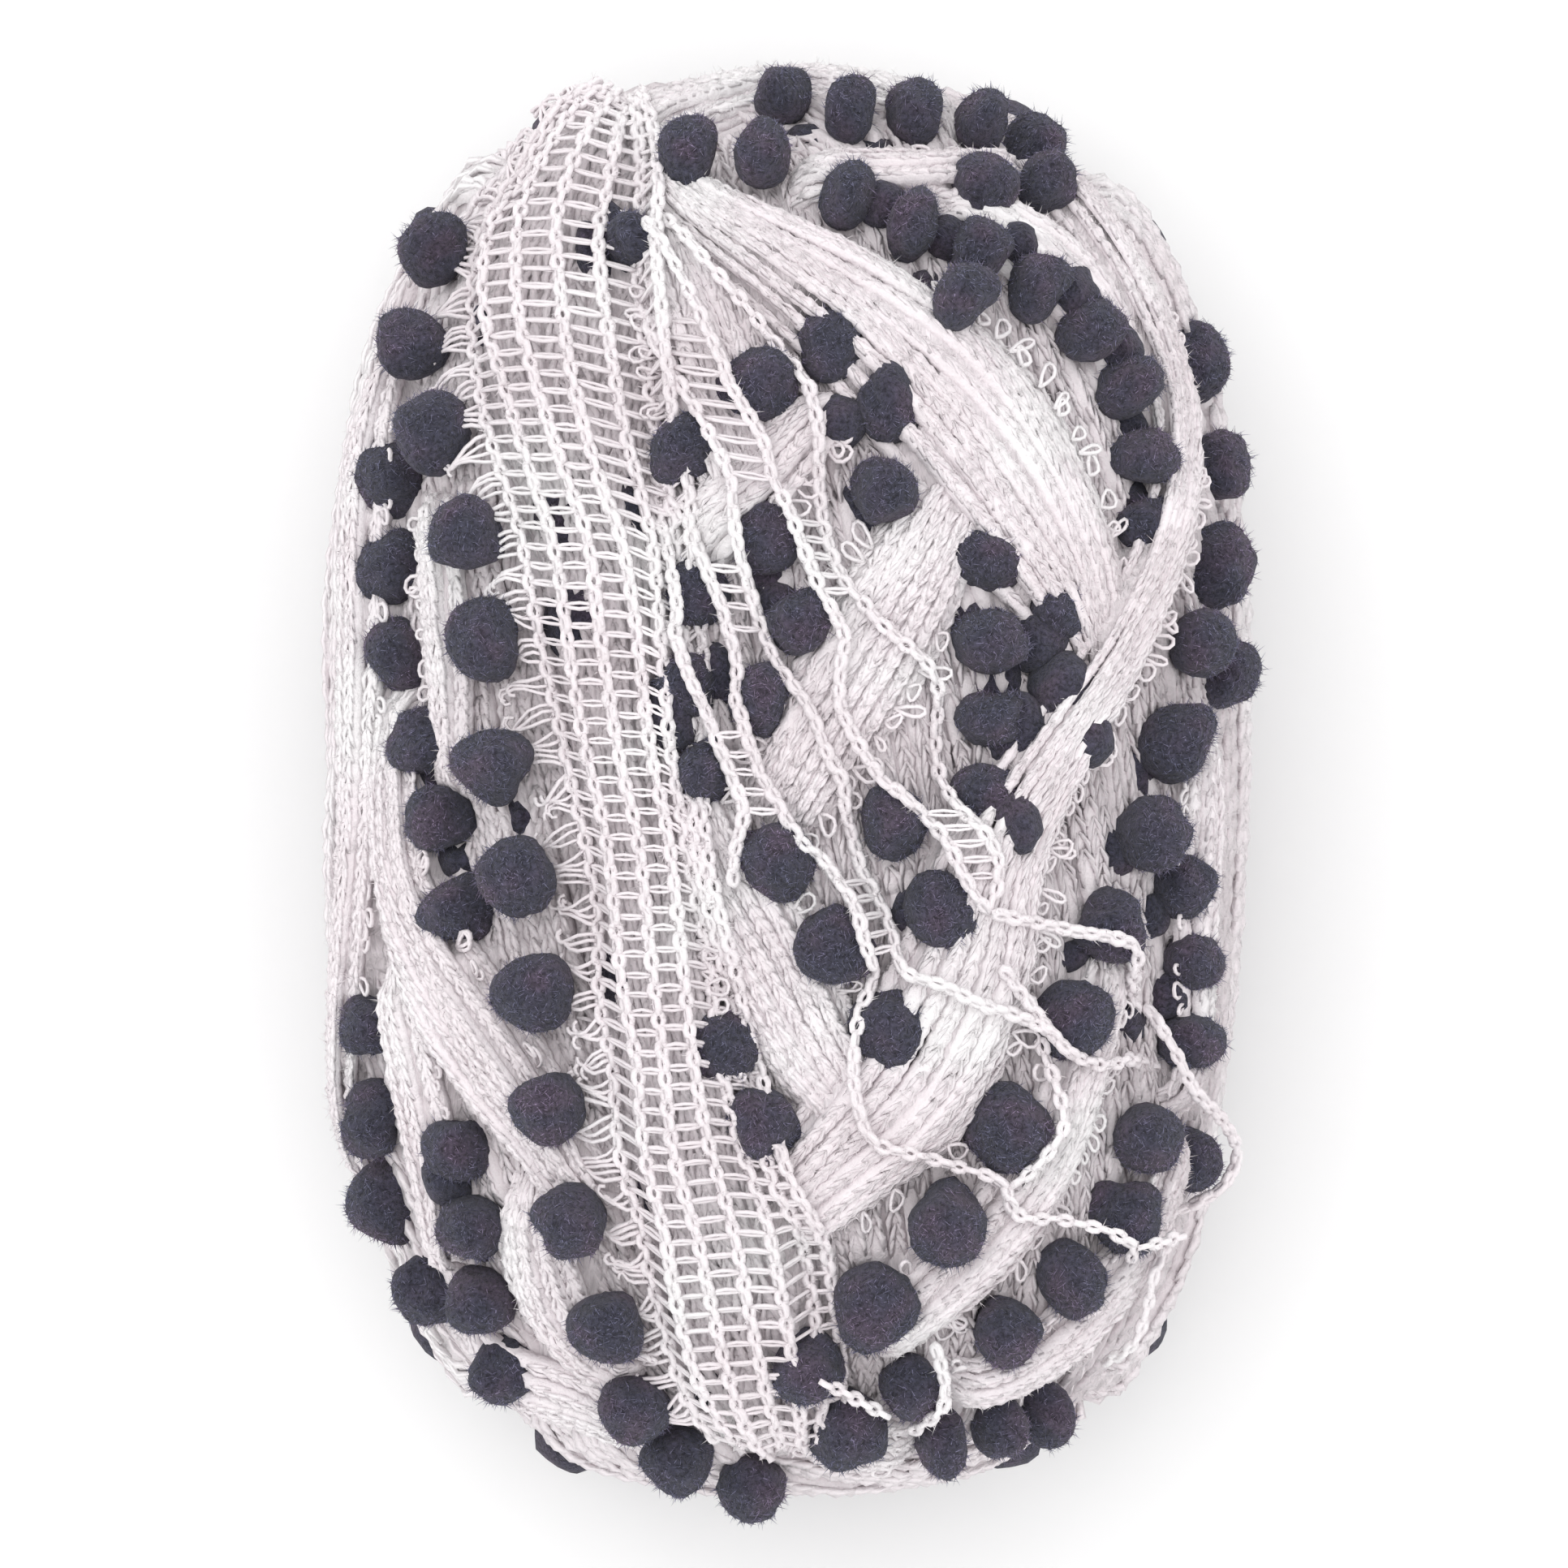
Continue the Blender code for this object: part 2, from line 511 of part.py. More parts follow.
def fine_ball(balls):
    """The wound ball as a fine mesh, pressed in under every pompom and chain."""
    bm = bmesh.new()
    bmesh.ops.create_icosphere(bm, subdivisions=BALL_SUBDIVISIONS, radius=1.0)
    directions = unit(np.array([vertex.co for vertex in bm.verts]))
    reach = np.linalg.norm(shell_points(directions, ribbon_lift(directions)), axis=1)
    for middle, radius in balls:
        toward = directions @ middle
        under = toward**2 - middle @ middle + (radius + SEAT_GAP) ** 2
        met = (under > 0) & (toward > 0)
        reach[met] = np.minimum(reach[met], toward[met] - np.sqrt(under[met]))
    for vertex, point in zip(bm.verts, directions * reach[:, None] * MM):
        vertex.co = point
    mesh = bpy.data.meshes.new("fine_ball")
    bm.to_mesh(mesh)
    bm.free()
    return mesh


def thinned(mesh, share):
    """The mesh with only this share of its faces, the flattest places first."""
    helper = bpy.data.objects.new("helper", mesh)
    bpy.context.scene.collection.objects.link(helper)
    helper.modifiers.new("thin", "DECIMATE").ratio = share
    graph = bpy.context.evaluated_depsgraph_get()
    thin = bpy.data.meshes.new_from_object(helper.evaluated_get(graph))
    bpy.data.objects.remove(helper)
    return thin


def seat(points, faces, balls):
    """Draws the faces that still reach into a pompom or chain back towards the middle of the ball."""
    middles = np.array([middle for middle, _ in balls])
    radii = np.array([radius for _, radius in balls]) + SEAT_GAP
    grid = range(SEATING_SPOTS + 1)
    spots = np.array([(a, b, SEATING_SPOTS - a - b) for a in grid for b in grid if a + b <= SEATING_SPOTS])
    for _ in range(SEATING_ROUNDS):
        samples = np.einsum("sc,fcx->fsx", spots / SEATING_SPOTS, points[faces])
        flat = samples.reshape(-1, 3)
        squares = (flat**2).sum(1)[:, None] + (middles**2).sum(1) - 2 * flat @ middles.T
        gaps = (np.sqrt(np.maximum(squares, 0)) - radii).min(1).reshape(len(faces), -1).min(1)
        deep = gaps < -SEATED
        if not deep.any():
            break
        push = np.zeros(len(points))
        np.maximum.at(push, faces[deep].ravel(), np.repeat(-gaps[deep], 3))
        lengths = np.linalg.norm(points, axis=1)
        points = points * ((lengths - push) / lengths)[:, None]
    return points


def wound_ball(balls):
    """The ball's mesh: thinned, seated under what lies on it, and flat where it rests."""
    mesh = thinned(fine_ball(balls), KEPT_FACES)
    mesh.calc_loop_triangles()
    points = np.array([vertex.co for vertex in mesh.vertices], float) / MM
    faces = np.array([triangle.vertices for triangle in mesh.loop_triangles])
    points = seat(points, faces, balls)
    points[:, 2] = np.maximum(points[:, 2] + CENTRE_HEIGHT, 0)
    ball = bpy.data.meshes.new("wound_ribbon")
    ball.from_pydata((points * MM).tolist(), [], faces.tolist())
    return ball


def material(name, colour, roughness):
    made = bpy.data.materials.new(name)
    made.use_nodes = True
    shader = made.node_tree.nodes["Principled BSDF"]
    shader.inputs["Base Color"].default_value = colour
    shader.inputs["Roughness"].default_value = roughness
    made.diffuse_color = colour
    return made


def yarn(name):
    return material(name, WHITE_YARN, YARN_ROUGHNESS)


def felt(name):
    return material(name, CHARCOAL_FELT, FELT_ROUGHNESS)


def place(name, mesh, finish, height=0.0):
    mesh.shade_smooth()
    mesh.materials.append(finish)
    made = bpy.data.objects.new(name, mesh)
    made.location.z = height
    bpy.context.scene.collection.objects.link(made)


def main():
    for old in list(bpy.data.objects):
        bpy.data.objects.remove(old)
    dice = np.random.default_rng(DICE_SEED)
    beaded = [(row.name, *bead_chain(row, dice)) for row in ROWS + BACK_ROWS]
    chained = [(chain.name, *chain_rings(chain)) for chain in CHAINS]
    balls = [ball for _, _, some in beaded + chained for ball in some]
    place("wound_ribbon", wound_ball(balls), yarn("wound_ribbon"))
    for name, rings, _ in beaded:
        place(name, tube_mesh(name, rings, BEAD_SIDES, dice), felt(name), CENTRE_HEIGHT * MM)
    for name, rings, _ in chained:
        place(name, tube_mesh(name, rings, CHAIN_SIDES), yarn(name), CENTRE_HEIGHT * MM)


main()
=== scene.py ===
"""Looks of the pom pom yarn: its knitting, open net, loose chains and felted pompoms, over the solids.

BANDS, BACK_BANDS, ROWS, BACK_ROWS, CHAINS and the functions that lay them out follow part.py, so each piece
lies where its solid does. Arrays are in millimetres from the middle of the ball, and made_mesh turns them
into the frame's metres.
"""

import math
from typing import NamedTuple

import bmesh
import bpy
import numpy as np
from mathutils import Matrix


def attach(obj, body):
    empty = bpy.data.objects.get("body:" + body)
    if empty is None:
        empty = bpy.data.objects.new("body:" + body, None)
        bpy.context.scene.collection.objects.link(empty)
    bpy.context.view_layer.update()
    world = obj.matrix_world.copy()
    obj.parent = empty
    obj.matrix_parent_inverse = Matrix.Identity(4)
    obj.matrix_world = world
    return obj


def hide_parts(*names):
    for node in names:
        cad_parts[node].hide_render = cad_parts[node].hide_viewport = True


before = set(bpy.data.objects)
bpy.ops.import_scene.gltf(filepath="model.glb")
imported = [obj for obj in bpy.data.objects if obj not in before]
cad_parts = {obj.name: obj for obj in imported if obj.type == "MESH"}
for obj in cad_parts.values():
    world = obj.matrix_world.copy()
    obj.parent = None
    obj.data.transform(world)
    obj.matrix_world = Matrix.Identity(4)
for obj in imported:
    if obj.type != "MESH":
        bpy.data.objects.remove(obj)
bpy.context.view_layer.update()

MM = 0.001
NEAR_ZERO = 1e-9
NO_AREA = 1e-12
DICE_SEED = 11

# How far sizes stray from their mean, as factors
SMALL_SPREAD = (0.9, 1.1)
WIDE_SPREAD = (0.85, 1.15)

# The wound core, before the outer lengths of ribbon are laid over it
CORE_HALF = np.array((53.0, 84.5, 44.0))
CENTRE_HEIGHT = 44.5
ROUND_ACROSS = 2.2
BLUNT_ENDS = 2.75
UNDERLAY_PITCH = 11.0
UNDERLAY_HEIGHT = 1.1
UNDERLAY_SLANT = math.radians(24)

# A length of ribbon bunched into a band: its round edges, the furrows between its ropes, and its two ends
EDGE_ROUNDNESS = 2.4
ROPE_WIDTH = 5.8
FURROW_DEPTH = 0.95
FURROW_WANDER = 0.5
END_DROP = 3.0
END_LENGTH = 5.0
BAND_STEP = 1.5
LAY_LIFT = 2.0
SPAN_STEPS = 14
WINDING_SPANS = 6

# The pompoms of a row: their lengths in radii, and how far apart they are
NECK_RADIUS = 1.4
BEAD_LENGTHS = (1.05, 1.3)
BEAD_UNEVEN = 0.07
BEAD_PITCH = 1.32

# The wound surface that the knitting lies on, how far it keeps below it, and the pompoms' hollows in it
SURFACE_SUBDIVISIONS = 6
SURFACE_DEPTH = 0.5
SURFACE_NET_DEPTH = 2.2
SURFACE_HOLLOW = 0.9
COVERED = 0.7
NET_FADE = 3

# Heights on the ball, from -1 underneath to 1 on top
EVERYWHERE = (-1.1, 1.1)
TOP = (0.3, 1.1)
SIDES = (-0.35, 0.3)
UNDERSIDE = (-1.1, -0.35)

# Packed knitting: its wales, how they drift, how coarse it is where it hardly shows, and a stitch's two legs
WALE_PITCH = 1.8
WIDTH_PERCENTILE = 80
DRIFT = 0.22
DRIFT_LENGTH = 9
DRIFT_PHASE = 23
HIDDEN_COARSENESS = 1.6
FLOOR_COARSENESS = 1.3
TOP_COARSENESS = 1.2
SIDE_COARSENESS = 1.8
STITCH_PITCH = 1.7
LEG_STEPS = np.array((-0.2, 0.6, 1.5))
LEG_TURNS = np.array((0.1, 0.55, 0.8))
LEG_RISES = np.array((-0.18, 0.16, -0.14))
LEG_TAPER = np.array((0.65, 1.0, 0.6))
EDGE_TILT = 0.6
LEG_RADIUS = 0.42
LEG_RADII = (0.75, 1.15)
LEG_LIFT = -0.13
LEG_UNEVEN = 0.3
TURN_UNEVEN = 0.1
RISE_UNEVEN = 0.07
LEG_SIDES = 3
THREAD_SIDES = 4

# The strand that each wale is, in lengths that lap: its half thickness, beads and how far it is sunk
STRAND_FULLNESS = 0.66
STRAND_RADII = (0.7, 1.5)
STRAND_SINK = 0.68
STRAND_LENGTH = 8.0
STRAND_LAP = 0.9
STRAND_STATIONS = 12
COARSE_STATIONS = 6
STRAND_SIDES = 5
STRAND_BEADS = 0.1
STRAND_UNEVEN = 0.04
STRAND_WAVES = ((1.31, 7), (0.47, 5))
STRAND_TAPER = 0.4
PAST_END = 0.01
PAST_END_TAPER = 0.3
NET_FLOOR_DEPTH = 1.7
NET_SHADOW_DEPTH = 1.3
GAP_DEPTH = -1.5

# Turns of ribbon right round the ball, under the outer bands
INNER_TURNS = 24
INNER_SLANT = 64
INNER_REACH = 81
INNER_WIDTH = 13.5
INNER_CREST = 1.7

# Turns of ribbon across the two ends, in layers: the angle, the crest and how far aside each lies
CAP_REACH = 37.0
CAP_FLATNESS = 0.83
CAP_LAYERS = ((-0.5, 1.7, (-26, -13, 0, 13, 26)), (0.8, 2.8, (-13, 1, 15)))

# Threads draped over the ball: the lift and step of the line that each follows, and how wide it is smoothed
LINE_LIFT = 6.0
LINE_STEP = 1.0
DRAPE_SPAN = 9
CHAIN_CLEARANCE = 0.75
SLACK_STEP = 0.8

# The open net: chains joined by rungs of two threads
NET_LIFT = 0.75
NET_BUNCHED = (0.8, 0.9)
NET_END = 88
NET_SKIP = 3
LINK_PITCH = 1.8
LINK_WIDTH = 0.58
LINK_THREAD = 0.5
LINK_CORNERS = 8
LINK_TILT = math.radians(40)
TILT_UNEVEN = 0.15
CHAIN_WIDTH = 0.56
SLACK_WIDTH = 0.5
RUNG_PITCH = 2.4
RUNG_RADIUS = 0.25
RUNG_STATIONS = 5
RUNG_BOW = 0.34
RUNG_BOWS = (0.7, 1.2)
RUNG_SAG = (-0.25, 0.35)
RUNG_SAGS = (0.6, 1)
RUNG_RISE = (-0.2, 0.2)

# Loops of thread at the edges of a ribbon: where each is rooted, and how it lies
LOOP_PITCH = 2.3
LOOP_SHIFT = (-1.2, 1.2)
LOOP_STATIONS = 9
LOOP_RADIUS = 0.27
LOOP_ROOT = 0.82
LOOP_ROOT_LIFT = 0.62
LOOP_LENGTH = (1.4, 4.0)
LOOP_BREADTH = (0.5, 1.2)
LOOP_LEAN = (-1.4, 1.4)
LOOP_RISE = (-0.2, 0.9)

# Hooks at the net's pompom edge, in bunches: their stems and their turned ends
HOOK_PITCH = 1.15
HOOK_BUNCH = (3, 6)
HOOK_REACH = (3.4, 6.8)
HOOK_LENGTHS = (0.75, 1.15)
HOOK_LEAN = (-0.9, 0.9)
HOOK_GATHER = 0.85
HOOK_SWAY = 0.35
HOOK_WAVES = 5
HOOK_ARCH = 0.9
HOOK_RADIUS = 0.8
HOOK_TURN = (0.5, 1.3)
HOOK_START = 0.2
HOOK_STATIONS = 4
HOOK_LIFT = 0.25

# Curls between the hooks
CURL_SHARE = 0.7
CURL_RADIUS = 1.15
CURL_RADII = (0.7, 1.25)
CURL_THREAD = 1.15
CURL_STAND = 0.5
CURL_LEAN = 0.5

# Pompoms: their felted surface, as half widths and half lengths, and the way that the inner ones lie
SEEN_SUBDIVISIONS = 4
HIDDEN_SUBDIVISIONS = 3
LARGEST_FELT = (5.0, 6.0)
NET_EDGE_FELT = (4.7, 5.3)
SMALLEST_SHARES = (0.84, 0.82, 0.93)
LARGEST_SHARES = (1.0, 0.97, 1.0)
FELT_BARE = 1.02
FELT_LUMPS = 14
FELT_LUMP_DEPTH = 0.22
FELT_LUMP_WAVES = (0.8, 4.5)
FELT_LUMP_SHARES = (0.3, 1)
FELT_ROUGHNESS = 0.014
BEAD_SQUARENESS = 2.15
BEAD_BEND = 0.25
BEND_CENTRE = 0.4
COLUMN_WAY = np.array((0.25, -1.0, 0))

# Hairs that stand off the felt and the yarn
HAIR_WIDTH = 0.07
HAIR_ROOT = 0.1
HAIR_LENGTHS = (0.35, 1.3)
HAIR_FACING = 0.3
HAIR_STRAY = 1.15
FELT_HAIRS = 30000
FELT_HAIR_LENGTH = 1.2
FELT_HAIR_STAND = 0.4
YARN_HAIRS = 18000
YARN_HAIR_LENGTH = 1.3
YARN_HAIR_STAND = 0.45

# Colours as they show on a screen, with where each lies in the patches
WHITE_TINTS = ((0.35, (237, 229, 232)), (0.5, (241, 234, 237)), (0.66, (245, 242, 243)))
# The next tints are the same white yarn made darker: painted shade for the inner turns and the wound mass,
# which lie deeper
PAINTED_SHADE_TINTS = ((0.35, (227, 219, 222)), (0.65, (237, 230, 233)))
FELT_TINTS = ((0.38, (56, 56, 70)), (0.52, (62, 59, 74)), (0.68, (71, 62, 77)))
PATCH_NOISE = {"Detail": 1.0, "Roughness": 0.5}
GRAIN_NOISE = {"Detail": 3.0, "Roughness": 0.7}
GRAIN_STOPS = (0.34, 0.66)
GRAIN_DEPTH = 0.0008
WOOL_ROUGHNESS = 0.95
WOOL_SPECULAR = 0.12
SHEEN_ROUGHNESS = 0.6
LOOSE_BRIGHTNESS = 4.5

# The studio, in metres
CAMERA_PLACE = (-0.0006, 0.00025, 3.0)
SENSOR_WIDTH = 36.0
VIEW_WIDTH = 0.1932
FOCUS_HEIGHT = 0.055
VIEW_REACH = 100
FLOOR_RADIUS = 9.0
FLOOR_CORNERS = 64
FLOOR_COLOUR = (0.93, 0.93, 0.93, 1)
FLOOR_ROUGHNESS = 0.9
SKY_COLOUR = (1, 1, 1, 1)
SKY_STRENGTH = 1.12
SUN_STRENGTH = 0.75
SUN_ANGLE = math.radians(45)
SUN_TILT = (math.radians(-14), math.radians(-10), 0)


class Band(NamedTuple):
    """A length of ribbon. Each station holds x, y, width and crest height over the core."""

    name: str
    stations: tuple


class Row(NamedTuple):
    """A run of pompoms. Each station holds x, y and the height of the row's axis over the core."""

    name: str
    count: int
    size: float
    stations: tuple


class Chain(NamedTuple):
    """A loose chain. Each station holds x, y and the height over the core."""

    name: str
    stations: tuple


class Winding(NamedTuple):
    """A length on the hidden side, by its angle from the top and its place along the ball at each end."""

    name: str
    start_angle: float
    end_angle: float
    start_y: float
    end_y: float
    width: float
    crest: float


class Ball(NamedTuple):
    """A pompom where it lies, with the way its row runs."""

    middle: np.ndarray
    ahead: np.ndarray
    radius: float
    half_length: float
    row: str
    seen: bool


class Knitting(NamedTuple):
    """How bands are knitted: how coarse, how far under the ribbon, and between which heights of the ball."""

    coarse: float = 1.0
    drop: float = 0.0
    among: tuple = EVERYWHERE


class Wool(NamedTuple):
    """A matte wool: the scales of its patches and its grain, and how strong and how long the grain is."""

    patch_scale: float
    grain_scale: float
    curl: float
    dark: float
    light: float
    bump: float
    sheen: float
    lengthwise: float = 1.0


# In each wool the grain's dark flecks are painted shade between the fibres, and its light flecks the fibres'
# own paler strands
YARN = Wool(55.0, 1000.0, 0.0, 0.95, 1.02, 0.5, 0.12)
MASS = Wool(55.0, 800.0, 0.25, 0.7, 1.06, 1.0, 0.12, 0.26)
FELT = Wool(190.0, 1900.0, 0.6, 0.4, 1.8, 0.9, 0.15)
LOOSE_FELT = FELT._replace(dark=LOOSE_BRIGHTNESS * FELT.dark, light=LOOSE_BRIGHTNESS * FELT.light)

# Seen from above, x to the right and y along the ball
BANDS = (
    Band("spread_net", (
        (-22.7, 87.4, 9, 5.5), (-25.2, 81.9, 11, 6.5), (-29.2, 72.9, 18, 6), (-31, 62.9, 22, 5.5),
        (-30.4, 51.9, 20, 5.5), (-27.2, 36.9, 17, 5.5), (-22.7, 18.9, 18, 5.5), (-21.4, 4.9, 16, 6),
        (-18.2, -15.2, 13, 6.5), (-16, -33.2, 14, 6.5), (-11.2, -52.2, 17, 6), (-6.7, -67.2, 18, 5.5),
        (-3.2, -79.2, 16, 5.5), (-1.2, -86.2, 12, 4.5),
    )),
    Band("fan", (
        (-17.2, 77.9, 6, 6.5), (-11.2, 72.9, 8, 6.5), (-1.2, 66.9, 11, 6.5), (10.8, 58.9, 15, 6.5),
        (21.8, 48.9, 19, 6.5), (30.8, 36.9, 19, 6), (37.3, 23.9, 14, 5.5), (39.8, 11.9, 7, 4.5),
    )),
    Band("right_rope", (
        (29.3, 80.4, 5, 4.5), (37.8, 72.9, 7, 6), (45.8, 59.9, 7, 6.5), (49.6, 46.9, 6, 6.5),
        (49, 32.9, 6, 8), (42.8, 17.9, 7, 8.5), (34.8, 4.9, 9, 8.5), (27.3, -9.1, 12, 8),
        (23.8, -23.2, 16, 7.5), (16.8, -37.2, 17, 7), (6.8, -47.2, 14, 6.5), (-2.2, -55.2, 11, 6),
    )),
    Band("inner_right", (
        (17.8, 73.4, 6, 4.5), (28.8, 69.4, 9, 5), (37.8, 61.9, 9, 5), (43.3, 51.9, 6, 4.5),
    )),
    Band("top_short", ((0.3, 76.9, 6, 4.5), (10.8, 76.4, 8, 5), (20.8, 76.9, 7, 5), (29.8, 77.4, 5, 4.5))),
    Band("top_edge", (
        (-20.2, 82.9, 8, 6), (-11.2, 86.4, 9, 5), (0.8, 88.4, 9, 5), (12.8, 86.9, 8, 5),
        (21.8, 82.9, 6, 4.5),
    )),
    Band("left_edge", (
        (-49.2, 54.9, 5, 5), (-53.2, 42.9, 8, 6.5), (-54.4, 26.9, 8, 6.5), (-54.7, 8.9, 8, 6.5),
        (-54.9, -8.1, 7, 6.5), (-56.2, -25.2, 5, 6.5), (-56, -41.2, 4, 6), (-53.2, -51.2, 4, 4.5),
    )),
    Band("inner_left", (
        (-44.7, 37.9, 4, 4), (-43.7, 24.9, 6, 4.5), (-42.4, 10.9, 6, 4.5), (-42.2, -2.1, 5, 3.5),
    )),
    Band("left_fork", (
        (-49.2, 12.9, 3, 4.5), (-50.4, 0.9, 7, 5.5), (-49.7, -12.1, 9, 6), (-45.2, -24.2, 12, 6),
        (-38.2, -35.2, 12, 6), (-31.2, -44.2, 9, 5.5), (-23.2, -55.2, 7, 4.5),
    )),
    Band("left_tail", (
        (-50.2, -23.2, 7, 5.5), (-47.7, -36.2, 8, 5.5), (-45.2, -48.2, 7, 5.5), (-42.7, -62.2, 3, 5),
    )),
    Band("lower_left", (
        (-32.7, -50.2, 6, 4.5), (-31.7, -60.2, 10, 5), (-27.2, -69.2, 9, 5), (-18.2, -75.2, 6, 4.5),
    )),
    Band("bottom_left_edge", (
        (-40.7, -68.2, 5, 4), (-35.2, -74.2, 9, 5), (-26.2, -77.7, 9, 5), (-15.2, -82.2, 7, 4.5),
    )),
    Band("centre", (
        (-2.2, -5.2, 9, 4), (3.8, 5.9, 13, 4.5), (10.8, 17.9, 15, 4.5), (16.8, 28.9, 13, 4.5),
        (21.8, 38.9, 10, 4.5),
    )),
    Band("crossing", ((-12.2, 30.9, 8, 4.5), (-5.2, 36.9, 8, 5), (1.3, 43.9, 7, 5), (7.3, 49.9, 5, 4.5))),
    Band("fan_left", (
        (-17.2, 71.9, 5, 6.5), (-13.2, 61.9, 11, 6), (-9.7, 51.9, 14, 5.5), (-6.7, 40.9, 10, 5),
        (-5.2, 34.9, 6, 4.5),
    )),
    Band("lower_centre", (
        (-12.2, -1.2, 6, 4.5), (-8.2, -12.2, 12, 5), (-2.2, -23.2, 13, 5), (3.8, -34.2, 12, 5),
        (10.8, -43.2, 8, 4.5),
    )),
    Band("right_lower", (
        (41.3, -21.2, 5, 4.5), (37.3, -34.2, 8, 5), (33.3, -46.2, 8, 5), (25.3, -57.2, 10, 5),
        (16.8, -65.2, 8, 5), (8.8, -71.2, 6, 4.5),
    )),
    Band("bottom_right_edge", (
        (49.8, -43.2, 5, 4.5), (45.3, -56.2, 7, 4.5), (38.3, -66.2, 9, 5), (29.3, -73.2, 8, 5),
        (18.8, -76.2, 6, 4.5),
    )),
    Band("right_edge", (
        (51.8, 8.9, 5, 4.5), (52.6, -3.1, 8, 5), (51.8, -18.2, 7, 5), (51, -33.2, 6, 4.5),
        (48.3, -43.2, 5, 4.5),
    )),
    Band("bottom_short", ((-0.2, -77.2, 7, 4.5), (7.8, -82.2, 9, 5), (16.8, -83.2, 7, 4.5))),
)

# Angles run from straight up towards +X, so 90 is the right side, 180 underneath and 270 the left side
BACK_BANDS = (
    Winding("back_a", 92, 128, 78, -78, 11, 4.8),
    Winding("back_b", 116, 160, 80, -80, 13, 5),
    Winding("back_c", 158, 202, 80, -80, 17, 3.6),
    Winding("back_d", 196, 238, 80, -80, 13, 4.4),
    Winding("back_e", 226, 266, 78, -78, 12, 4.8),
    Winding("back_f", 138, 98, 79, -79, 9, 6.2),
    Winding("back_g", 200, 142, 80, -80, 12, 4.6),
    Winding("back_h", 262, 214, 80, -80, 11, 6.2),
    Winding("back_i", 82, 114, 76, -66, 8, 4),
    Winding("back_j", 276, 248, 72, -76, 9, 5),
    Winding("back_top", 104, 256, 72, 80, 11, 6),
    Winding("back_bottom", 256, 104, -72, -80, 11, 6),
)
BACK_ROWS = (
    Winding("pompoms_side_right", 108, 116, 48, -52, 9.6, 2.2),
    Winding("pompoms_low_right", 131, 134, 44, -48, 10.2, 3.8),
    Winding("pompoms_side_left", 250, 246, 52, -48, 9.6, 2.6),
    Winding("pompoms_low_left", 227, 231, 46, -46, 10.2, 3.8),
    Winding("pompoms_top_turn", 112, 248, 67, 67, 10.2, 4.2),
    Winding("pompoms_top_pole", 128, 232, 80, 80, 9.8, 4.6),
    Winding("pompoms_bottom_turn", 112, 248, -67, -67, 10.2, 4.2),
    Winding("pompoms_bottom_pole", 128, 232, -80, -80, 9.8, 4.6),
)

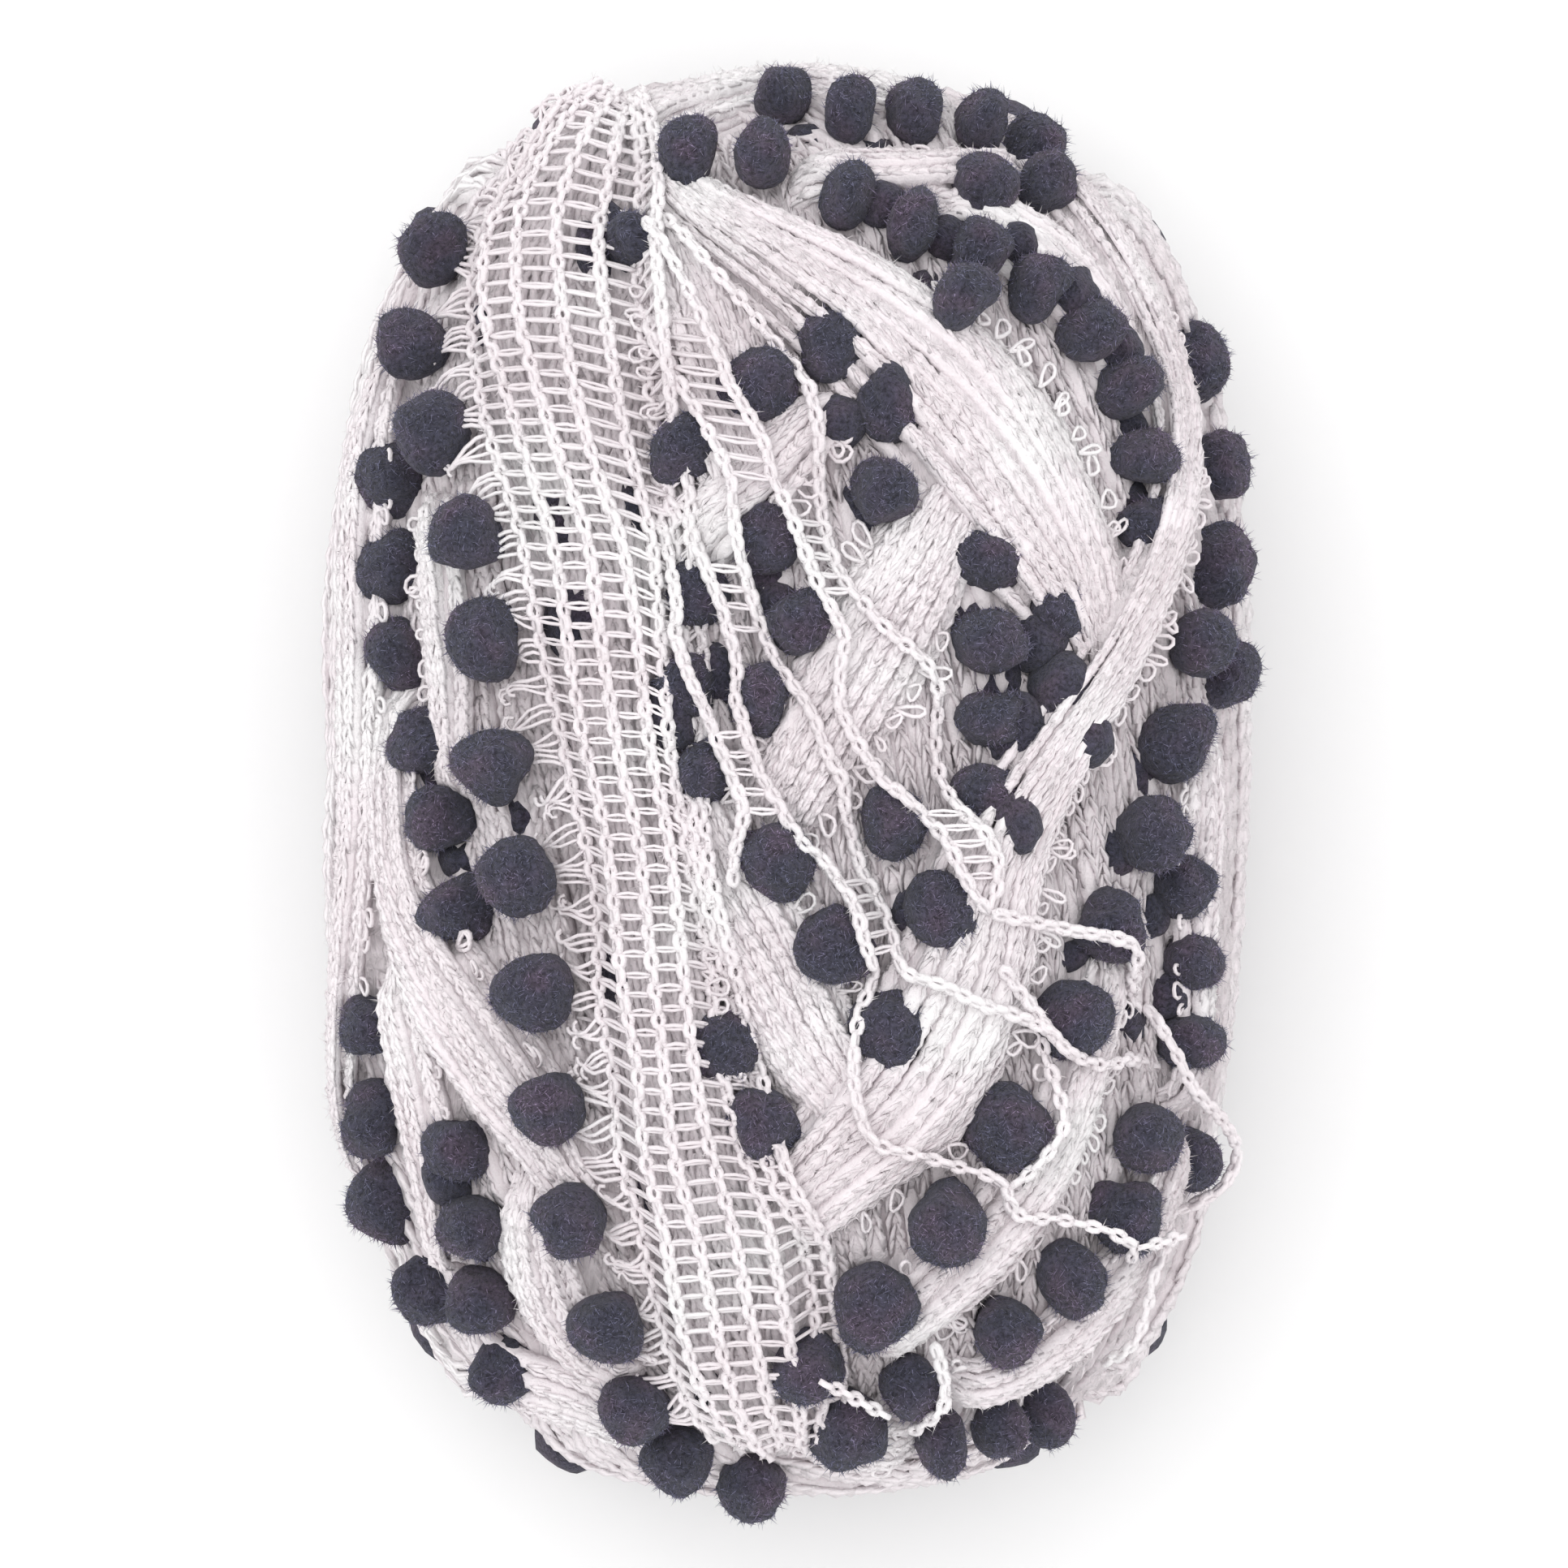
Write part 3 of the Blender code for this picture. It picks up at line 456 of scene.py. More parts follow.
ROWS = (
    Row("pompoms_net_edge", 11, 10.5, (
        (-43.4, 66.4, 5.4), (-46.4, 55.6, 5.8), (-43.6, 44, 6.4), (-39, 31, 6.8), (-37.2, 16.5, 6.8),
        (-36, 3, 6.8), (-33.2, -9.6, 6.8), (-31.4, -24, 6.8), (-29.6, -38.2, 6.8), (-26.6, -52, 6.8),
        (-22.2, -66, 6.4),
    )),
    Row("pompoms_net_bottom", 3, 8.8, ((-19, -76.2, 5.4), (-13.8, -83, 5), (-4.4, -86, 4.4))),
    Row("pompoms_left_deep", 6, 8.8, (
        (-48.4, 37.4, 2.4), (-48.6, 26.9, 2.4), (-48.2, 17.9, 2.4), (-45.8, 8.4, 2.4), (-42.4, -4.2, 2.6),
        (-40.6, -15.2, 2.6),
    )),
    Row("pompoms_left_lower", 4, 8.6, (
        (-51.6, -29.6, 3.4), (-51, -41.2, 3.2), (-50, -51.6, 3.2), (-44.8, -62.4, 3),
    )),
    Row("pompoms_left_fork", 4, 9.4, (
        (-40.5, -44.5, 3), (-38.7, -53, 3.8), (-38, -64.6, 4.4), (-35, -71.4, 3.6),
    )),
    Row("pompoms_top_left", 2, 9.2, ((-12.4, 77.7, 6.4), (-3.2, 77.2, 6.2))),
    Row("pompoms_top", 5, 8.8, (
        (-0.7, 84.9, 4.6), (8.8, 82.7, 4.4), (15.8, 82.9, 4.4), (22.8, 81.6, 4.4), (30.2, 78.8, 3.2),
    )),
    Row("pompoms_top_right", 2, 8.6, ((23.8, 73.6, 4.2), (31.4, 74.2, 4))),
    Row("pompoms_fan_edge", 8, 9.4, (
        (7.3, 71.9, 4.2), (16.8, 67.9, 4.4), (25, 64.7, 4.6), (34, 59, 4.8), (39.8, 51.9, 4.2),
        (43.3, 42.9, 3.4), (44.8, 31.9, 3.2),
    )),
    Row("pompoms_fan_top", 1, 9, ((17.4, 62.6, 8.2), (25.2, 57, 8.2))),
    Row("pompoms_right_edge", 4, 8.4, ((50.6, 52.2, 3), (53.2, 38.4, 3), (52.8, 25, 3), (54, 13.6, 3.4))),
    Row("pompoms_right_upper", 5, 9.2, (
        (49.8, 17.4, 3.8), (48.2, 6.5, 4.2), (44.3, -6.1, 4.2), (38.6, -18.4, 3.8), (34.8, -28.6, 3.6),
    )),
    Row("pompoms_net_top", 1, 7.2, ((-20, 71, 4), (-17.5, 62, 4))),
    Row("pompoms_centre_top", 5, 8.8, (
        (-12.7, 41.4, 3), (-3.8, 48.8, 3.6), (4.8, 54, 2.6), (12.3, 46, 2.6), (11.4, 35.6, 4.2),
    )),
    Row("pompoms_centre", 3, 8.8, ((-2.9, 29.9, 2.2), (1.6, 19.9, 3.2), (-3.2, 10.4, 2.6))),
    Row("pompoms_net_right", 3, 8.2, ((-11.6, 22.9, 2.2), (-12.6, 12.9, 2.2), (-10.4, 1.9, 2.6))),
    Row("pompoms_lower_centre", 3, 9.2, ((-2.2, -9.2, 4), (5.3, -18.7, 4), (12.3, -29.7, 3.8))),
    Row("pompoms_v_gap", 2, 9.4, ((-7.7, -31.2, 2.6), (-2.9, -40.7, 4))),
    Row("pompoms_right_centre", 4, 9, (
        (24.3, 27.4, 2.2), (23.8, 16.9, 3.4), (24.6, 7.9, 2.4), (24.3, -1.2, 3.2),
    )),
    Row("pompoms_right_gap", 2, 8.2, ((32.8, 21.4, 1.8), (34.4, 12, 1.6))),
    Row("pompoms_centre_low", 2, 9.2, ((12.8, -4.7, 2.8), (18.6, -14.9, 4))),
    Row("pompoms_right_low_edge", 3, 8.6, ((48.6, -12.2, 3), (49.4, -22.2, 3), (48.8, -31.2, 3))),
    Row("pompoms_corner", 4, 9.6, (
        (44.3, -42.7, 4.4), (42.3, -50.7, 4), (37.3, -58.6, 4.4), (26.8, -67, 4.4),
    )),
    Row("pompoms_rope_low", 3, 10, ((26.8, -41.7, 4), (18.8, -53.2, 5), (10.6, -62.7, 5))),
    Row("pompoms_corner_edge", 1, 7.2, ((51.2, -41, 3), (48.6, -50.5, 3))),
    Row("pompoms_bottom_left", 2, 9, ((2.8, -70.8, 4.4), (7.2, -79, 4.4))),
    Row("pompoms_bottom_middle", 1, 8.2, ((10.5, -74.6, 3.4), (19, -71.6, 3.4))),
    Row("pompoms_bottom", 3, 8.6, ((18.8, -80.2, 4), (26.2, -79.2, 4), (31.6, -76.8, 2.8))),
)

CHAINS = (
    Chain("slack_loop_upper", (
        (43.8, -27, 2), (46.8, -31.6, 6.4), (49.8, -37.4, 6.8), (53.2, -41, 6.8), (55.2, -45.4, 6.8),
        (53, -49.6, 6.4), (47.4, -52.6, 1.6),
    )),
    Chain("slack_loop_lower", (
        (47, -53.4, 2.4), (45, -59.2, 6.4), (44, -64, 6.4), (42.4, -68.4, 6), (38.6, -71, 2.6),
    )),
)

# The chains of the net that have slipped loose, as x and y from the start to the end of each
LOOSE_CHAINS = {
    "chain_a": (
        (-17.2, 71.8), (-10.2, 62.9), (-2.6, 55.5), (0, 52.8), (2.3, 49.5), (3.1, 45.5), (3.6, 42.5),
        (3.8, 37.6), (4.3, 34.4), (5.8, 28.9), (7, 25.9), (8.4, 24.1), (9.8, 22.1), (11.6, 19.9),
        (13.2, 18.4), (14.8, 17.2), (16.9, 15.7), (18.5, 13.8), (19.4, 11.7), (19.6, 6.7), (19.6, 1.1),
        (20.1, -1.4), (21.2, -3.6), (22.6, -5.2), (24.3, -9.2), (23.8, -14.7),
    ),
    "chain_b": (
        (-17.2, 67.8), (-11.2, 57.4), (-9.7, 54.2), (-7.9, 50.5), (-7.1, 47.4), (-5.4, 44.5), (-2.8, 40.5),
        (-2, 37), (-0.3, 33.9), (1.3, 30.1), (2.6, 26.8), (3.8, 23.9), (4.9, 21.9), (5.8, 19.9),
        (6.8, 17.6), (6.3, 15.3), (6.3, 10.3), (7.2, 7.8), (8.6, 5.2), (11.1, 0.9), (13.4, -0.9),
        (15.3, -2.8), (17.1, -4.5), (18.7, -6.5), (19.8, -9.2), (21.3, -12.2), (23.8, -15.2),
    ),
    "chain_c": (
        (-19.2, 63.9), (-16.8, 55.5), (-14.8, 52), (-13.5, 49.5), (-11.5, 46.1), (-9.7, 42.5), (-8.2, 39.5),
        (-6.9, 36.5), (-6.6, 32), (-5.9, 27.9), (-4.6, 23.6), (-2.9, 18.6), (-0.8, 14.2), (1, 11.8),
        (2.9, 8.9), (4.7, 4.2), (6.3, 1.6), (7, -0.5), (7.2, -2.8), (8.1, -6), (8.8, -8.4), (9.6, -11.2),
        (11.3, -14.2), (12.8, -18.1), (13.8, -22.1), (17.8, -23.1), (22.8, -25.6), (26.8, -27.1),
        (30.8, -29.1), (32.8, -31.1),
    ),
    "chain_d": (
        (-19.2, 42.9), (-13.5, 35.1), (-12.2, 32), (-11, 28.8), (-9.7, 25.4), (-9.1, 23.9), (-8.2, 21.9),
        (-7.7, 19.8), (-7, 17.6), (-6.5, 15.3), (-6.3, 13.1), (-6.5, 10.6), (-5.6, 8.1), (-5.2, 6.2),
        (-4.2, 3.6), (-3.6, 1.4), (-2.2, -0.7), (0.3, -5), (2, -7.3), (4, -8.9), (5.8, -11.2), (7.8, -14.2),
        (8.8, -18.1), (10.3, -22.1),
    ),
    "chain_e": (
        (-18.6, 40.5), (-17.4, 35.9), (-15.8, 31.4), (-14.2, 25.4), (-13.3, 21.1), (-13.6, 18.4),
        (-12.9, 16.1), (-12.2, 13.8), (-11, 11.2), (-9.9, 8.9), (-9.2, 6.8), (-8.6, 5), (-7.5, 2.5),
        (-6.9, 0.7), (-5.8, -1.6), (-5.5, -3.6), (-6.1, -6.5), (-6.5, -8.7), (-6.7, -12.2),
    ),
    "chain_f": (
        (10.3, -22.1), (10.3, -24.6), (8.8, -27.1), (7.8, -31.1), (7.8, -36.1), (9.8, -41.6), (14.8, -44.1),
        (20.8, -47.1), (25.8, -48.1), (27.8, -52.1), (33.8, -53.6), (37.8, -53.1), (40.8, -54.4),
        (41.3, -58.1),
    ),
    "chain_f_end": ((41.3, -54.1), (44, -53.5), (46.8, -53.1)),
    "chain_g": (
        (23.8, -14.7), (28.8, -16.1), (33.8, -17.1), (37.8, -17.6), (40.8, -19.1), (42.3, -23.1),
        (44.8, -27.1), (46.8, -31.1),
    ),
    "chain_h": (
        (24.8, -21.1), (28.8, -26.1), (32.8, -31.1), (37.8, -34), (42.8, -34.6), (45.8, -36.1),
        (49.8, -38.1),
    ),
    "chain_low": ((31.8, -32.1), (32.3, -38.1), (30.3, -43.1), (28.3, -47.1), (26.8, -49.1)),
    "chain_bottom_a": ((3.8, -69.2), (6.3, -71.7), (8.8, -74.2), (12.3, -77.2)),
    "chain_bottom_b": ((17.8, -68.2), (18.8, -72.2), (17.8, -76.2), (15.3, -80.7)),
}

# The open net: at each y, the x of each of its wales from the left
NET_WALES = (
    (85.8, -24.2, -23.1, -22, -21, -20),
    (81.8, -30.7, -28.2, -25.7, -23.2, -20.7),
    (76.8, -36.5, -32.7, -28.8, -25, -21.5),
    (71.8, -39.7, -35.5, -31.3, -27, -22.5),
    (66.8, -41, -37, -32.7, -28, -23.2),
    (56.9, -40.6, -36.7, -32.2, -27.2, -22.4),
    (46.9, -38.2, -34, -29.7, -25.4, -21),
    (36.9, -35, -30.8, -26.5, -22.7, -18.7),
    (28.6, -32.6, -28.3, -23.8, -19.9, -16.9),
    (15.7, -30.8, -26.3, -22.1, -18.2, -15.4),
    (4.3, -28.3, -24.4, -20.4, -16.9, -14.6),
    (-7.2, -25.5, -21.9, -17.9, -14.4, -12.7),
    (-21.2, -24.1, -19.9, -16.2, -12.7, -10.4),
    (-32.5, -22.4, -17.9, -14.7, -11.2, -8.7),
    (-43.1, -21.7, -17.2, -13.4, -9.4, -6.2),
    (-53.1, -18.7, -14.7, -11, -6.7, -2.7),
    (-63.1, -17.2, -13.2, -9.2, -4.7, -0.7),
    (-73.2, -14.2, -10.4, -6.7, -2.7, 1),
    (-82.2, -8.7, -5.7, -3.2, -0.7, 1.8),
)
NET_BAND = 0

# Where two chains are still joined by rungs: from y to y
LADDERS = (
    ("chain_a", "chain_b", 22.4, 33.5), ("chain_a", "chain_b", -12.5, -2.5), ("chain_b", "chain_c", 36, 58),
    ("chain_c", "chain_d", 17.5, 28.5), ("chain_c", "chain_d", -21.7, -10.5),
    ("chain_d", "chain_e", -5, 7.8), ("chain_d", "chain_e", 33, 43),
)

# Band edges with loops of thread: the band, its side, and the shares of its length between them
EDGE_LOOPS = (
    ("left_edge", -1, 0.05, 0.75), ("left_fork", -1, 0.1, 0.75), ("left_tail", -1, 0.35, 1),
    ("inner_left", 1, 0.1, 0.9), ("fan", -1, 0.25, 0.95), ("right_rope", -1, 0.42, 0.95),
    ("right_rope", -1, 0.12, 0.4), ("centre", 1, 0, 1), ("centre", -1, 0.1, 0.9), ("crossing", 1, 0.2, 1),
    ("crossing", -1, 0.2, 1), ("spread_net", -1, 0.5, 0.78), ("lower_centre", 1, 0.2, 1),
    ("lower_centre", -1, 0, 0.8), ("right_lower", 1, 0, 1), ("right_lower", -1, 0, 1),
    ("bottom_right_edge", 1, 0.1, 1), ("right_edge", 1, 0.1, 1), ("bottom_short", 1, 0, 1),
    ("top_short", -1, 0.1, 0.9), ("lower_left", -1, 0, 1), ("inner_right", 1, 0.1, 0.9),
    ("fan_left", 1, 0.2, 1),
)

# Pompoms of an inner turn that show dark under the net: x, y, half width and half length
NET_SHADOWS = (
    (-37.2, 56.9, 3.2, 6), (-28.6, 33.4, 4.8, 6), (-26.6, 20.4, 4.8, 6), (-26, 4.6, 3.6, 6),
    (-23.2, -10.8, 4.4, 6.2), (-20.6, -24.4, 4, 5.2), (-16.6, -53, 4.8, 6), (-9.2, -75, 4, 4.2),
    (-23.4, 63.6, 2.2, 6.4), (-18.6, 33, 2, 6.4),
)

# Pompoms of an inner turn in the deep gaps between the bands, in the same columns
GAP_POMPOMS = (
    (24.5, 21.5, 4.2, 4.6), (31, 19, 4.6, 4.8), (26.5, 14, 4.6, 5), (32.5, 12, 4.2, 5), (28, 7, 4.6, 5),
    (34, 5.5, 3.6, 4.2), (9.4, 37, 3.6, 4.6), (6, 44, 3.2, 4), (11.8, 45.5, 3, 4), (-34.6, -4, 3.4, 3.2),
    (46.3, -16.7, 3, 3.4), (25.5, -4.4, 3, 3.8), (-14, 8.5, 3, 4.8), (36, -21.8, 3, 2.6),
    (-8.8, 14.6, 2.8, 5), (-10.6, 25, 3, 4.6), (-1.5, 22, 3, 4.4), (23.6, -76, 5, 2.8), (47.5, -26, 3, 3.2),
    (14.9, -16.2, 2.6, 3.8), (43, -30, 2.8, 3), (17.4, 63.8, 3, 3), (10.6, 80.2, 2.8, 2.4),
    (2.2, 81.2, 2.8, 2.6), (-3, 28, 3.4, 4.4), (45, 2, 3, 3.6), (42, -8, 3, 4), (-20.4, 66, 2, 5),
    (-41, -47, 3.2, 4.6), (-39, -58, 3, 4), (-47.5, 11.6, 3, 3.4), (-44.8, 1.1, 3, 3.4),
    (-42.4, -9.4, 3, 3.2), (11.1, 70.6, 3, 3.2), (19.2, 67.6, 3, 3.2), (27.3, 64.7, 3, 3.2),
    (34.3, 58.8, 3.2, 3.4), (39.8, 52.7, 3.2, 3.4), (42.9, 45.2, 3.2, 3.4), (43.6, 36.5, 3.2, 3.4),
)


def shell_points(directions, lift):
    """Where each direction meets the shell that is the core grown by lift."""
    half = CORE_HALF + np.asarray(lift, float)[..., None]
    x, y, z = np.moveaxis(np.abs(directions) / half, -1, 0)
    across = (x**ROUND_ACROSS + z**ROUND_ACROSS) ** (BLUNT_ENDS / ROUND_ACROSS)
    return directions * ((across + y**BLUNT_ENDS) ** (-1 / BLUNT_ENDS))[..., None]


def unit(vectors):
    return vectors / np.linalg.norm(vectors, axis=-1, keepdims=True)


def seen_point(x, y, lift):
    """The point of a shell that lies at x, y when seen from above."""
    half_x, half_y, half_z = CORE_HALF + lift
    across = max(1 - abs(y / half_y) ** BLUNT_ENDS, 0) ** (ROUND_ACROSS / BLUNT_ENDS)
    depth = max(across - abs(x / half_x) ** ROUND_ACROSS, 0) ** (1 / ROUND_ACROSS)
    return shell_points(unit(np.array((x, y, half_z * depth))), lift)


def angle_point(angle, y, lift):
    """The point of a shell at an angle round the long axis, from straight up towards +X."""
    half_x, half_y, half_z = CORE_HALF + lift
    across = max(1 - abs(y / half_y) ** BLUNT_ENDS, 0) ** (1 / BLUNT_ENDS)
    sine, cosine = math.sin(math.radians(angle)), math.cos(math.radians(angle))
    turned = abs(sine / half_x) ** ROUND_ACROSS + abs(cosine / half_z) ** ROUND_ACROSS
    reach = across * turned ** (-1 / ROUND_ACROSS)
    return shell_points(unit(np.array((reach * sine, y, reach * cosine))), lift)


def winding_stations(winding):
    """Points of a length on the hidden side, whose angle changes evenly while y slows towards both ends."""
    turns = np.linspace(-math.pi / 2, math.pi / 2, WINDING_SPANS + 1)
    places = winding.start_y + (np.sin(turns) + 1) / 2 * (winding.end_y - winding.start_y)
    angles = np.linspace(winding.start_angle, winding.end_angle, WINDING_SPANS + 1)
    return np.array([angle_point(angle, y, winding.crest) for angle, y in zip(angles, places)])


def smooth_rows(rows):
    """A Catmull-Rom curve through the rows, all columns alike."""
    ends = np.vstack((2 * rows[0] - rows[1], rows, 2 * rows[-1] - rows[-2]))
    t = np.linspace(0, 1, SPAN_STEPS, endpoint=False)[:, None]
    spans = [
        0.5 * (2 * b + (c - a) * t + (2 * a - 5 * b + 4 * c - d) * t**2 + (3 * b - a - 3 * c + d) * t**3)
        for a, b, c, d in zip(ends, ends[1:], ends[2:], ends[3:])
    ]
    return np.vstack((*spans, rows[-1:]))


def run_lengths(points):
    return np.concatenate(((0,), np.cumsum(np.linalg.norm(np.diff(points, axis=0), axis=1))))


def read_at(places, runs, rows):
    """The rows read at run lengths in an array of any shape."""
    return np.stack([np.interp(places, runs, column) for column in rows.T], -1)


def route_of(points, columns):
    """A smooth route over the ball, on the shells that its last column names, with its columns there."""
    columns = np.broadcast_to(columns, (len(points), np.shape(columns)[-1]))
    rows = smooth_rows(np.column_stack((points, columns)))
    return shell_points(unit(rows[:, :3]), rows[:, -1]), rows[:, 3:]


def seen_route(stations):
    """A smooth route through stations of x, y and lift seen from above, with its run lengths."""
    points = np.array([seen_point(x, y, lift) for x, y, lift in stations])
    laid, _ = route_of(points, np.array(stations, float)[:, 2:])
    return laid, run_lengths(laid)


def band_route(points, columns):
    """A band's route on one shell, a step apart, with its width, crest and run length."""
    laid, columns = route_of(points, columns)
    laid = shell_points(unit(laid), LAY_LIFT)
    runs = run_lengths(laid)
    places = np.arange(0, runs[-1], BAND_STEP)
    return read_at(places, runs, laid), read_at(places, runs, columns), places


def band_routes():
    """The routes of the bands that show, and then of those on the hidden side."""
    routes = []
    for band in BANDS:
        stations = np.array(band.stations, float)
        points = np.array([seen_point(x, y, crest) for x, y, _, crest in stations])
        routes.append(band_route(points, stations[:, 2:]))
    for winding in BACK_BANDS:
        routes.append(band_route(winding_stations(winding), (winding.width, winding.crest)))
    return routes


def underlay(points):
    """Slanting turns of the inner winding, which show in the valleys between the bands."""
    radius = CORE_HALF[[0, 2]].mean()
    around = np.arctan2(points[:, 0], points[:, 2]) * radius
    across = around * math.cos(UNDERLAY_SLANT) + points[:, 1] * math.sin(UNDERLAY_SLANT)
    girth = 2 * math.pi * radius * math.cos(UNDERLAY_SLANT)
    pitch = girth / round(girth / UNDERLAY_PITCH)
    return UNDERLAY_HEIGHT * np.abs(np.sin(math.pi * across / pitch))


def row_route(row):
    """The axis of a pompom row, with its run lengths."""
    if isinstance(row, Row):
        return seen_route(row.stations)
    laid, _ = route_of(winding_stations(row), (row.crest,))
    return laid, run_lengths(laid)


def axis_point(laid, runs, place):
    """A point of the axis, read past its ends too."""
    inside = np.clip(place, 0, runs[-1])
    point = read_at([inside], runs, laid)[0]
    toward = unit(laid[-1] - laid[-2]) if place > inside else unit(laid[1] - laid[0])
    return point + toward * (place - inside)


def all_balls():
    """Every pompom of every row, evenly spaced along it, each a little unlike the next."""
    dice = np.random.default_rng(DICE_SEED)
    found = []
    for row in ROWS + BACK_ROWS:
        laid, runs = row_route(row)
        length = runs[-1]
        seen = isinstance(row, Row)
        size = row.size if seen else row.width
        count = row.count if seen else round(length / (size * BEAD_PITCH))
        spacing = length / max(count - 1, 1)
        for place in np.linspace(0, length, count) if count > 1 else (length / 2,):
            radius = size / 2 * dice.uniform(1 - BEAD_UNEVEN, 1 + BEAD_UNEVEN)
            half_length = min(radius * dice.uniform(*BEAD_LENGTHS), spacing / 2 - NECK_RADIUS / 2)
            before, middle, after = [axis_point(laid, runs, place + shift) for shift in (-1, 0, 1)]
            found.append(Ball(middle, unit(after - before), radius, half_length, row.name, seen))
    return found


def inner_balls(table, depth, routes):
    """Pompoms of an inner turn, whose tops lie a depth under the ribbon."""
    found = []
    for x, y, half_width, half_length in table:
        way = unit(seen_point(x, y, LAY_LIFT))
        middle = way * (ribbon_reach(way[None], routes)[0] - depth - half_width)
        found.append(Ball(middle, unit(COLUMN_WAY), half_width, half_length, "", True))
    return found


def band_lift(band, run, signed, crest):
    """A band's height over the core at a place across it, from -1 at one edge to 1 at the other."""
    _, columns, runs = band
    ropes = max(1, round(columns[:, 0].mean() / ROPE_WIDTH))
    wander = FURROW_WANDER * np.sin(run / ROPE_WIDTH / 2)
    ridges = 0.5 + 0.5 * np.cos(math.pi * (ropes * (signed + 1) + wander))
    furrow = FURROW_DEPTH * ridges * (ropes > 1)
    rounded = np.maximum(1 - np.minimum(np.abs(signed), 1) ** EDGE_ROUNDNESS, 0) ** (1 / EDGE_ROUNDNESS)
    near_end = np.clip(1 - np.minimum(run, runs[-1] - run) / END_LENGTH, 0, 1)
    return (crest - furrow) * rounded - END_DROP * near_end**2


def ways_of(route):
    """The way ahead and the way to the side at each point of a route."""
    along = unit(np.gradient(route, axis=0))
    return along, unit(np.cross(along, unit(route)))


def band_heights(directions, routes):
    """The highest of the bands at each direction, and how far it is into the open net."""
    points = shell_points(directions, LAY_LIFT)
    highest = underlay(points)
    in_net = np.zeros(len(points))
    for number, band in enumerate(routes):
        route, columns, runs = band
        distance = (points**2).sum(1)[:, None] + (route**2).sum(1) - 2 * points @ route.T
        nearest = distance.argmin(1)
        width, crest = columns[nearest].T
        aside = np.sqrt(np.maximum(distance.min(1), 0)) / (width / 2)
        _, lateral = ways_of(route)
        signed = aside * np.sign(((points - route[nearest]) * lateral[nearest]).sum(1))
        lift = band_lift(band, runs[nearest], signed, crest)
        if number == NET_BAND:
            in_net = np.clip(NET_FADE * (1 - aside), 0, 1) * (lift >= highest)
        else:
            in_net *= lift < highest
        highest = np.maximum(highest, lift)
    return highest, in_net


def ribbon_reach(directions, routes):
    """How far out the wound ribbon reaches in each direction."""
    heights, _ = band_heights(directions, routes)
    return np.linalg.norm(shell_points(directions, heights), axis=1)


def crossings(directions, ball, share=1.0):
    """Which directions meet a pompom, shrunk to a share of its radius, how far out, and half how deep."""
    toward = directions @ ball.middle
    beside = toward**2 - ball.middle @ ball.middle + (share * ball.radius) ** 2
    met = (beside > 0) & (toward > 0)
    return met, toward[met], np.sqrt(beside[met])


def reach_of(directions, balls):
    """How far out the pompoms reach in each direction, or 0."""
    reach = np.zeros(len(directions))
    for ball in balls:
        met, toward, half = crossings(directions, ball)
        reach[met] = np.maximum(reach[met], toward + half)
    return reach


def felt_size(ball):
    """The half width and half length of a pompom's felt."""
    widest, longest = NET_EDGE_FELT if ball.row == "pompoms_net_edge" else LARGEST_FELT
    return min(ball.radius, widest), min(ball.half_length, longest)


def buried(points, balls):
    """Which points lie inside a pompom."""
    inside = np.zeros(len(points), bool)
    for ball in balls:
        aside = points - ball.middle
        ahead = aside @ ball.ahead
        width, length = felt_size(ball)
        inside |= (aside**2).sum(1) - ahead**2 + (ahead * width / length) ** 2 < (FELT_BARE * width) ** 2
    return inside


def linked(name, data):
    """A new object of the scene."""
    made = bpy.data.objects.new(name, data)
    bpy.context.scene.collection.objects.link(made)
    return made


def made_mesh(name, shape, finish):
    """A piece of the part from its points in millimetres and its faces, kept over the floor."""
    points, faces = shape
    points = points + (0, 0, CENTRE_HEIGHT)
    points[:, 2] = np.maximum(points[:, 2], 0)
    mesh = bpy.data.meshes.new(name)
    mesh.vertices.add(len(points))
    mesh.vertices.foreach_set("co", (points * MM).ravel())
    mesh.loops.add(faces.size)
    mesh.loops.foreach_set("vertex_index", faces.ravel())
    mesh.polygons.add(len(faces))
    mesh.polygons.foreach_set("loop_start", np.arange(0, faces.size, faces.shape[1]))
    mesh.update(calc_edges=True)
    mesh.shade_smooth()
    mesh.materials.append(finish)
    made = linked(name, mesh)
    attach(made, "root")
    return made


def merged(parts):
    """One set of points and faces from several."""
    starts = np.cumsum([0, *(len(points) for points, _ in parts)])
    faces = [faces + start for (_, faces), start in zip(parts, starts)]
    return np.vstack([points for points, _ in parts]), np.vstack(faces)


def circle(corners, shift=0.0):
    """The cosines and sines of even turns, as columns."""
    turns = 2 * math.pi * (np.arange(corners) + shift) / corners
    return np.cos(turns)[:, None], np.sin(turns)[:, None]


